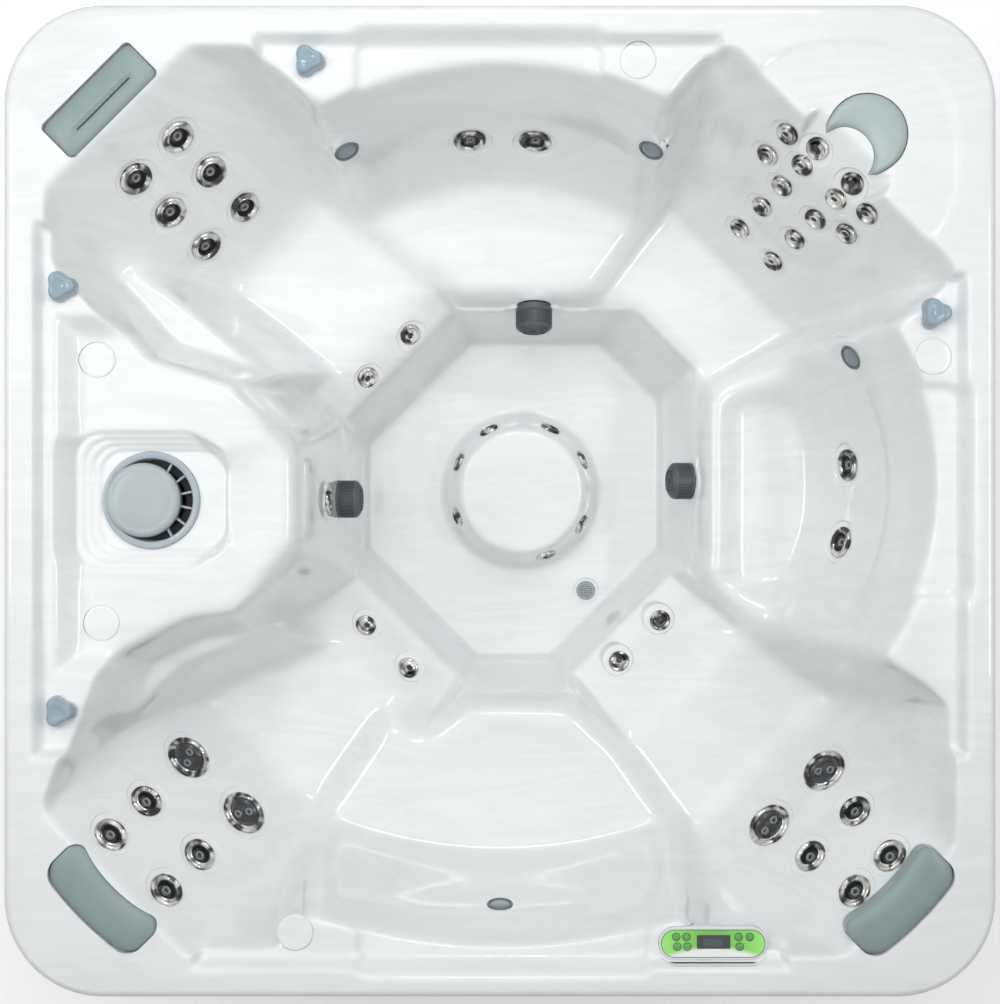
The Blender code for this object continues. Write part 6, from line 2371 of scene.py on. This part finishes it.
                # A flat black piece at the bottom of the slot's groove is painted shade.
                slot_shade = Shape.outline(rounded_outline(0.0044, 0.086, 0.0043, 6), 0.0440, 0.0493)
                slot_shade_piece = slot_shade.finish("waterfall_slot_shade", [palette.slot], TUB, matrix=place @ moved_to(-0.012, 0))


@dataclass
class Cabinet:
    """The cabinet: base pan, frame, rounded corner posts and boarded panels."""

    half: float = 1.032
    corner: float = 0.179
    panel_thickness: float = 0.020
    pan_thickness: float = 0.020
    post_depth: float = 0.040
    rail_width: float = 0.032
    rail_height: float = 0.050
    frame_top: float = 0.8577
    post_top: float = 0.9077
    panel_top: float = 0.847
    boards: int = 7
    groove: float = 0.004

    def quarter(self, shape: Shape, turns: int) -> Shape:
        """The shape turned about Z by quarter turns."""
        return shape.moved(Matrix.Rotation(math.pi / 2 * turns, 4, "Z"))

    def square_ring(self, inset: float, width: float, low: float, high: float) -> Shape:
        """A rail that runs all round, as one closed band.

        Args:
            inset: How far it is drawn in from the cabinet's side.
            width: Its width.
            low: Height of its lower end.
            high: Height of its upper end.

        Returns:
            The rail.
        """
        shape, loops = Shape(), []
        for drawn_in in (inset, inset + width):
            half = self.half - drawn_in
            outline = rounded_outline(half, half, self.corner - drawn_in, 12)
            made = [shape.bm.verts.new((x, y, low)) for x, y in outline]
            loops += [shape.bm.edges.new(pair) for pair in zip(made, made[1:] + made[:1])]
        face = bmesh.ops.bridge_loops(shape.bm, edges=loops)["faces"]
        lifted = bmesh.ops.extrude_face_region(shape.bm, geom=face)["geom"]
        bmesh.ops.translate(
            shape.bm, verts=[g for g in lifted if isinstance(g, bmesh.types.BMVert)], vec=(0, 0, high - low),
        )
        return shape

    def build_frame(self, palette: Palette) -> None:
        """The posts and rails, in the place of the solid frame.

        Args:
            palette: The finishes.
        """
        low = self.pan_thickness + 0.0003
        inset = self.panel_thickness + 0.0004
        frame = self.square_ring(inset, self.rail_width, low, low + self.rail_height)
        top = self.frame_top
        frame.join(self.square_ring(inset, self.rail_width, top - self.rail_height, top)).painted(1)
        middle = self.half - self.corner
        angles = [math.pi / 2 * step / 14 for step in range(15)]
        outer, inner = self.corner, self.corner - self.post_depth
        outline = [(middle + outer * math.cos(a), middle + outer * math.sin(a)) for a in angles]
        outline += [(middle + inner * math.cos(a), middle + inner * math.sin(a)) for a in reversed(angles)]
        for turns in range(4):
            post = Shape.outline(outline, low, self.post_top).bevel(0.0015, 2, 50)
            frame.join(self.quarter(post, turns))
        thing = frame.finish("corner_posts", [palette.trim, palette.pack], TUB, replaces=("cabinet_frame",))

    def build_panel(self, name: str, turns: int, body: str, palette: Palette) -> None:
        """One side's boards, grooved where they meet, with a dark board behind the grooves, and two handles
        on the access panel.

        Args:
            name: The panel's name.
            turns: Quarter turns from the right-hand side.
            body: The body it rides on.
            palette: The finishes.
        """
        width = 2 * (self.half - self.corner - 0.0008)
        low, high = self.pan_thickness + 0.0006, self.panel_top
        pitch = (high - low) / self.boards
        panel = Shape()
        for index in range(self.boards):
            bottom = low + pitch * index
            board = Shape.box(
                (self.panel_thickness - 0.001, width, pitch - 0.0006),
                (self.half - self.panel_thickness / 2 - 0.0005, 0, bottom + pitch / 2),
            )
            panel.join(board.bevel(self.groove, 2, 60))
        size = (0.006, width - 0.004, high - low - 0.004)
        panel.join(Shape.box(size, (self.half - 0.0165, 0, (low + high) / 2)).painted(1))
        if body == "access_panel":
            for side in (-1, 1):
                middle = (self.half - 0.0018, side * 0.42, high - 0.075)
                panel.join(Shape.box((0.004, 0.130, 0.030), middle).bevel(0.0015, 3).painted(1))
        self.quarter(panel, turns)
        thing = panel.finish(name + "_boards", [palette.boards, palette.trim], body, replaces=(name,))

    def build(self, palette: Palette) -> None:
        """Builds the pan, the frame and the four panels.

        Args:
            palette: The finishes.
        """
        pan = Shape.outline(rounded_outline(self.half, self.half, self.corner, 16), 0.0, self.pan_thickness)
        thing = pan.bevel(0.002, 2, 50).finish("floor_pan", [palette.pan], TUB, replaces=("base_pan",))
        self.build_frame(palette)
        for name, turns in (("right_panel", 0), ("back_panel", 1), ("access_panel", 2), ("front_panel", 3)):
            self.build_panel(name, turns, "access_panel" if name == "access_panel" else TUB, palette)


@dataclass
class SupplyPipes:
    """Sockets behind the jets, the valves' stems, and the pipes that feed them all."""

    form: ShellForm
    jets: JetSet
    ring_height: float = 0.25
    ring_reach: float = 0.93
    ring_corner: float = 0.78
    ring_turn: float = 0.50
    header_depth: float = 0.055
    hub_radius: float = 0.040
    floor_pipe_height: float = 0.054
    air_pipe: float = 0.010
    jet_pipe: float = 0.013
    branch_pipe: float = 0.018
    ring_pipe: float = 0.025
    pump_pipe: float = 0.028
    pump_outlet: Point3 = (-0.555, 0.3603, 0.1153)
    sides: int = 14

    def socket(self, jet: JetPlace) -> Shape:
        """The stepped body behind one jet.

        Args:
            jet: The jet in front of it.

        Returns:
            The socket.
        """
        profile = rings(
            jet.kind.value, (0, -12.3), (0.90, -12.3), (0.90, -20), (0.78, -24), (0.70, -40), (0.52, -48),
            (0.50, -62), (0, -62),
        )
        return Shape.turned(profile, 20).moved(jet.matrix)

    def corner_points(self) -> dict[str, Vector]:
        """Where the ring main passes each corner.

        Returns:
            The points, by corner.
        """
        out = self.ring_corner / DIAGONAL
        outward = {name: seat[0] for name, seat in SEATS.items()}
        return {name: Vector((x * out, y * out, self.ring_height)) for name, (x, y) in outward.items()}

    def seat_runs(self, groups: dict[str, list[Vector]], corners: dict[str, Vector]) -> list[Run]:
        """The pipes that feed the jets of the seats and benches.

        Args:
            groups: The points behind the jets, by group.
            corners: The ring main's corners.

        Returns:
            The runs.
        """
        runs = []
        for name, corner in corners.items():
            points = groups[name]
            middles = []
            for index in range(0, len(points), 2):
                runs.append((points[index:index + 2], self.jet_pipe))
                middles.append((points[index] + points[index + 1]) / 2)
            middles.sort(key=lambda place: place.z)
            runs.append(([corner, middles[0], middles[-1]], self.branch_pipe))
        reach, turn, height = self.ring_reach, self.ring_turn, self.ring_height
        for name in ("far_bench", "right_bench"):
            first, second = groups[name]
            middle = (first + second) / 2
            end = Vector((middle.x, reach, height) if name == "far_bench" else (reach, middle.y, height))
            runs += [([first, second], self.jet_pipe), ([middle, end], self.branch_pipe)]
        runs.append(([
            corners["top_left"], Vector((-turn, reach, height)), Vector((turn, reach, height)),
            corners["top_right"], Vector((reach, turn, height)), Vector((reach, -turn, height)),
            corners["bottom_right"], Vector((turn, -reach, height)), Vector((-turn, -reach, height)),
            corners["bottom_left"],
        ], self.ring_pipe))
        for name in ("top_left", "bottom_left", "bottom_right"):
            first, second = groups["calf_" + name]
            middle = (first + second) / 2
            runs += [([first, second], self.jet_pipe), ([middle, corners[name]], self.branch_pipe)]
        return runs

    def floor_runs(self, groups: dict[str, list[Vector]], corners: dict[str, Vector]) -> list[Run]:
        """The pipes that feed the dome and the jet in the footwell's left wall.

        Args:
            groups: The points behind the jets, by group.
            corners: The ring main's corners.

        Returns:
            The runs.
        """
        hub, low = Vector((*DOME_CENTRE, self.form.floor)), self.floor_pipe_height
        runs = [([place, hub], self.jet_pipe) for place in groups["dome"]]
        ends = [(*DOME_CENTRE, low), (hub.x, 0.62, low), (hub.x, self.ring_reach, self.ring_height)]
        jet = groups["left_wall"][0]
        rise = [jet, Vector((jet.x, jet.y, self.ring_height)), corners["top_left"]]
        return [*runs, ([hub, *map(Vector, ends)], self.branch_pipe), (rise, self.jet_pipe)]

    def add_hub(self, pipes: Shape) -> None:
        """Adds the dome's manifold.

        Args:
            pipes: What it is joined to.
        """
        floor = self.form.floor
        hub = Shape.cylinder(self.hub_radius, floor - 0.030, floor + 0.030, 24)
        pipes.join(hub.moved(moved_to(*DOME_CENTRE)))

    def add_valves(self, pipes: Shape, corners: dict[str, Vector]) -> list[Run]:
        """Adds the valves' stems and bodies.

        Args:
            pipes: What they are joined to.
            corners: The ring main's corners.

        Returns:
            The runs to the ring main.
        """
        runs, reach, height = [], self.ring_reach, self.ring_height
        for name, (x, y) in KNOBS.items():
            top = float(self.form.surface(x, y)) + 0.003
            stem = Shape.cylinder(0.0155, height - 0.016, top, 24).moved(moved_to(x, y))
            body = Shape.cylinder(0.024, height + 0.25, height + 0.36, 24).bevel(0.004, 2)
            pipes.join(stem).join(body.moved(moved_to(x, y)))
            near = {"far_knob": Vector((x, reach, height)), "right_knob": Vector((reach, y, height))}
            end = near.get(name, corners["top_left" if y > 0 else "bottom_left"])
            runs.append(([Vector((x, y, height)), end], self.air_pipe if name in near else self.jet_pipe))
        return runs

    def build(self, palette: Palette) -> None:
        """Builds all the pipework as one glued-up piece.

        Args:
            palette: The finishes.
        """
        pipes, groups, corners = Shape(), {}, self.corner_points()
        for jet in self.jets.places():
            pipes.join(self.socket(jet))
            groups.setdefault(jet.group, []).append(jet.matrix @ Vector((0, 0, -self.header_depth)))
        self.add_hub(pipes)
        runs = self.seat_runs(groups, corners) + self.floor_runs(groups, corners)
        runs += self.add_valves(pipes, corners)
        for side, name in ((1, "top_left"), (-1, "bottom_left")):
            x, y, z = self.pump_outlet
            bend = Vector((x, side * 0.55, z))
            runs.append(([Vector((x, side * y, z)), bend, corners[name]], self.pump_pipe))
        for points, radius in runs:
            pipes.join(tube(points, radius, self.sides))
        thing = pipes.finish("supply_pipes", [palette.pvc], TUB, replaces=("jet_plumbing",), smooth=40)


@dataclass
class EquipmentBay:
    """The two pumps and the control pack with its heater, under the filter deck."""

    base: float = 0.0203
    pump_x: float = -0.72
    pump_y: float = 0.24
    wet_radius: float = 0.095
    fins: int = 24
    bolts: int = 8
    pack_x: float = -0.915
    heater_x: float = -0.840
    heater_z: float = 0.12

    def heater_length(self, start: float, end: float, radius: float, sides: int) -> Shape:
        """A length of the heater's tube."""
        ends = [Vector((self.heater_x, y, self.heater_z)) for y in (start, end)]
        return tube(ends, radius, sides)

    def pump(self, name: str, side: int, palette: Palette) -> None:
        """A finned motor on its foot, with a wet end and its outlet.

        Args:
            name: Its node's name.
            side: 1 for the far side, -1 for the near one.
            palette: The finishes.
        """
        height = self.base + self.wet_radius
        x, y = self.pump_x, side * self.pump_y
        motor = Shape.turned(millimetres(
            (0, 0), (60, 0), (70, 3), (76, 12), (78, 35), (78, 222), (72, 231), (0, 231),
        ), 48)
        for turn in full_turn(self.fins):
            motor.join(Shape.box((0.009, 0.0028, 0.16), (0.0805, 0, 0.125)).bevel(0.0008, 1).moved(turn))
        wet = Shape.turned(millimetres(
            (0, 230), (86, 230), (94.5, 236), (95, 246), (90, 252), (90, 296), (84, 308), (60, 316),
            (45, 320), (0, 320),
        ), 48).painted(1)
        for turn in full_turn(self.bolts, 0.5):
            bolt = Shape.cylinder(0.005, 0.244, 0.258, 6).moved(moved_to(0.0895, 0))
            wet.join(bolt.moved(turn).painted(2))
        motor.join(wet).moved(moved_to(x - 0.12, y, height) @ Matrix.Rotation(math.pi / 2, 4, "Y"))
        foot = Shape.box((0.170, 0.130, 0.012), (x, y, self.base + 0.006)).bevel(0.003, 2)
        saddle = Shape.box((0.120, 0.090, 0.060), (x, y, self.base + 0.036)).bevel(0.006, 2)
        motor.join(foot.painted(1)).join(saddle.painted(1))
        for start, end, radius, sides in ((0, 0.12, 0.028, 24), (0.098, 0.119, 0.036, 10)):
            outlet = Vector((x + 0.165, y, height))
            ends = [outlet + Vector((0, side * reach, 0)) for reach in (start, end)]
            motor.join(tube(ends, radius, sides).painted(1))
        skins = [palette.motor, palette.pan, palette.steel]
        thing = motor.finish(name + "_motor", skins, TUB, replaces=(name,))

    def build(self, palette: Palette) -> None:
        """Builds the pumps and the control pack.

        Args:
            palette: The finishes.
        """
        self.pump("jet_pump", 1, palette)
        self.pump("circulation_pump", -1, palette)
        middle = self.pack_x
        pack = Shape.box((0.108, 0.338, 0.199), (middle, 0, self.base + 0.0998)).bevel(0.008, 3)
        lid = Shape.box((0.006, 0.300, 0.160), (middle - 0.0535, 0, self.base + 0.1)).bevel(0.002, 2)
        pack.join(lid)
        for side in (-1, 1):
            for rise in (0.030, 0.170):
                place = moved_to(middle - 0.0550, side * 0.138, self.base + rise)
                screw = Shape.cylinder(0.004, 0, 0.0032, 12).painted(1)
                pack.join(screw.moved(place @ Matrix.Rotation(-math.pi / 2, 4, "Y")))
        heater = self.heater_length(-0.13, 0.13, 0.0395, 32).painted(1)
        for side in (-1, 1):
            heater.join(self.heater_length(side * 0.105, side * 0.128, 0.0398, 12).painted(2))
        thing = pack.join(heater).finish(
            "control_box", [palette.pack, palette.steel, palette.motor], TUB, replaces=("control_pack",),
        )


@dataclass
class DeckBosses:
    """The five low round covers let into the decks."""

    mould: SoftMould
    radius: float = 0.0385
    rise: float = 0.0022
    groove: float = 0.0016
    spots: tuple[Point, ...] = (
        (0.2989, 0.9530), (0.9379, 0.3119), (-0.8855, 0.3106), (-0.8767, -0.2687), (-0.4440, -0.9335),
    )

    def placed(self, spot: Point) -> Matrix:
        """A cover's place on its deck."""
        return moved_to(*spot, float(self.mould.height(*spot)))

    def cut_into(self, shell: AcrylicShell) -> None:
        """Cuts a thin groove round each cover.

        Args:
            shell: The shell to cut.
        """
        for spot in self.spots:
            inner, outer = self.radius + 0.0001, self.radius + self.groove
            ring = Shape.turned([(inner, -0.0022), (outer, -0.0022), (outer, 0.012), (inner, 0.012)], 48)
            shell.cutters.append(ring.moved(self.placed(spot)))

    def build(self, palette: Palette) -> None:
        """Builds each cover on its deck.

        Args:
            palette: The finishes.
        """
        for index, spot in enumerate(self.spots):
            disc = Shape.turned([
                (0, self.rise), (self.radius * 0.80, self.rise), (self.radius * 0.94, self.rise * 0.9),
                (self.radius * 0.99, self.rise * 0.45), (self.radius, 0), (self.radius, -0.004), (0, -0.004),
            ], 48)
            thing = disc.finish(f"deck_cover_{index + 1}", [palette.acrylic], TUB, matrix=self.placed(spot))


@dataclass
class Studio:
    """A white floor and surround, a large soft light overhead, and the camera straight above the tub."""

    camera_height: float = 4.12
    camera_shift_y: float = -0.0021
    lens: float = 53.8
    sky: Colour = (1.0, 1.0, 1.0)
    horizon: Colour = (0.30, 0.345, 0.335)
    fill: float = 0.29
    key_power: float = 82.0
    key_size: float = 2.6
    key_place: Point3 = (-0.45, 0.6, 3.9)
    strip_power: float = 13.0
    strip_size: Point = (1.7, 0.11)
    strip_reach: float = 2.3
    strip_height: float = 3.0

    def build_world(self) -> None:
        """Bright from above and dimmer at the sides, and plain white where it is seen."""
        world = bpy.data.worlds.new("studio")
        bpy.context.scene.world = world
        world.use_nodes = True
        wiring = Wiring(world.node_tree)
        wiring.tree.nodes.clear()
        split = wiring.add("SeparateXYZ", Vector=wiring.add("TexCoord").outputs["Generated"])
        sky = wiring.ramp(split.outputs["Z"], [(0.0, self.horizon), (0.95, self.sky)])
        soft = wiring.add("Background", Color=sky, Strength=self.fill)
        plain = wiring.add("Background", Color=(1, 1, 1, 1))
        choice = wiring.add("MixShader", Fac=wiring.bare_ray())
        wiring.feed(choice.inputs[1], soft.outputs[0])
        wiring.feed(choice.inputs[2], plain.outputs[0])
        wiring.add("OutputWorld", Surface=choice.outputs[0])

    def build_floor(self, palette: Palette) -> None:
        """The floor, a little below the pan's underside."""
        floor = Shape.cylinder(7.0, -0.05, -0.0005, 96).finish("studio_floor", [palette.floor], None)

    def light(self, name: str, power: float, size: Point, place: Point3, aim: Vector) -> bpy.types.Object:
        """A soft light of a given length and width, aimed at a point.

        Args:
            name: Its name.
            power: Its power in watts.
            size: Its length and width.
            place: Where it hangs.
            aim: The point it is aimed at.

        Returns:
            The light.
        """
        data = bpy.data.lights.new(name, "AREA")
        data.shape = "RECTANGLE"
        data.energy = power
        data.size, data.size_y = size
        thing = bpy.data.objects.new(name, data)
        bpy.context.scene.collection.objects.link(thing)
        thing.location = place
        thing.rotation_euler = (aim - Vector(place)).to_track_quat("-Z", "Y").to_euler()
        thing.visible_camera = False
        return thing

    def build(self, palette: Palette) -> None:
        """Builds the world, floor, lights and camera.

        Args:
            palette: The finishes.
        """
        self.build_world()
        self.build_floor(palette)
        middle = Vector((0, 0, 0.5))
        key = self.light("overhead", self.key_power, (self.key_size, self.key_size), self.key_place, middle)
        key.visible_glossy = False
        reach, height = self.strip_reach, self.strip_height
        places = {"left": (-reach, 0.5, height), "right": (reach, 0.2, height), "far": (0.3, reach, height)}
        for name, place in places.items():
            self.light(f"{name}_strip", self.strip_power, self.strip_size, place, middle)
        data = bpy.data.cameras.new("overhead_camera")
        data.lens = self.lens
        data.sensor_width = 36.0
        data.sensor_fit = "HORIZONTAL"
        camera = bpy.data.objects.new("overhead_camera", data)
        bpy.context.scene.collection.objects.link(camera)
        camera.location = (0, self.camera_shift_y, self.camera_height)
        bpy.context.scene.camera = camera
        bpy.context.scene.view_settings.view_transform = "Standard"


def main() -> None:
    """Loads the frame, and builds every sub-assembly in order."""
    logging.basicConfig(level=logging.INFO, format="%(message)s")
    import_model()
    studio = Studio()
    form = ShellForm()
    control = TopsideControl(form)
    palette = Palette(control.centre, (control.length, control.width))
    studio.build(palette)
    jets = JetSet(form)
    fittings, knobs, filter_well = WallFittings(form), ValveKnobs(form), FilterWell()
    holes = [(jet.matrix.translation, jet.kind.value) for jet in jets.places()] + fittings.holes()
    mould = SoftMould(form, holes)
    shell = AcrylicShell(form, mould)
    moulded_parts = (jets, fittings, knobs, filter_well, control, HeadPillows(form), DeckBosses(mould))
    for part in moulded_parts:
        part.cut_into(shell)
    shell.build(palette)
    for part in (*moulded_parts, Cabinet(), SupplyPipes(form, jets), EquipmentBay()):
        part.build(palette)
        LOG.info("built %s", type(part).__name__)


if __name__ == "__main__":
    main()
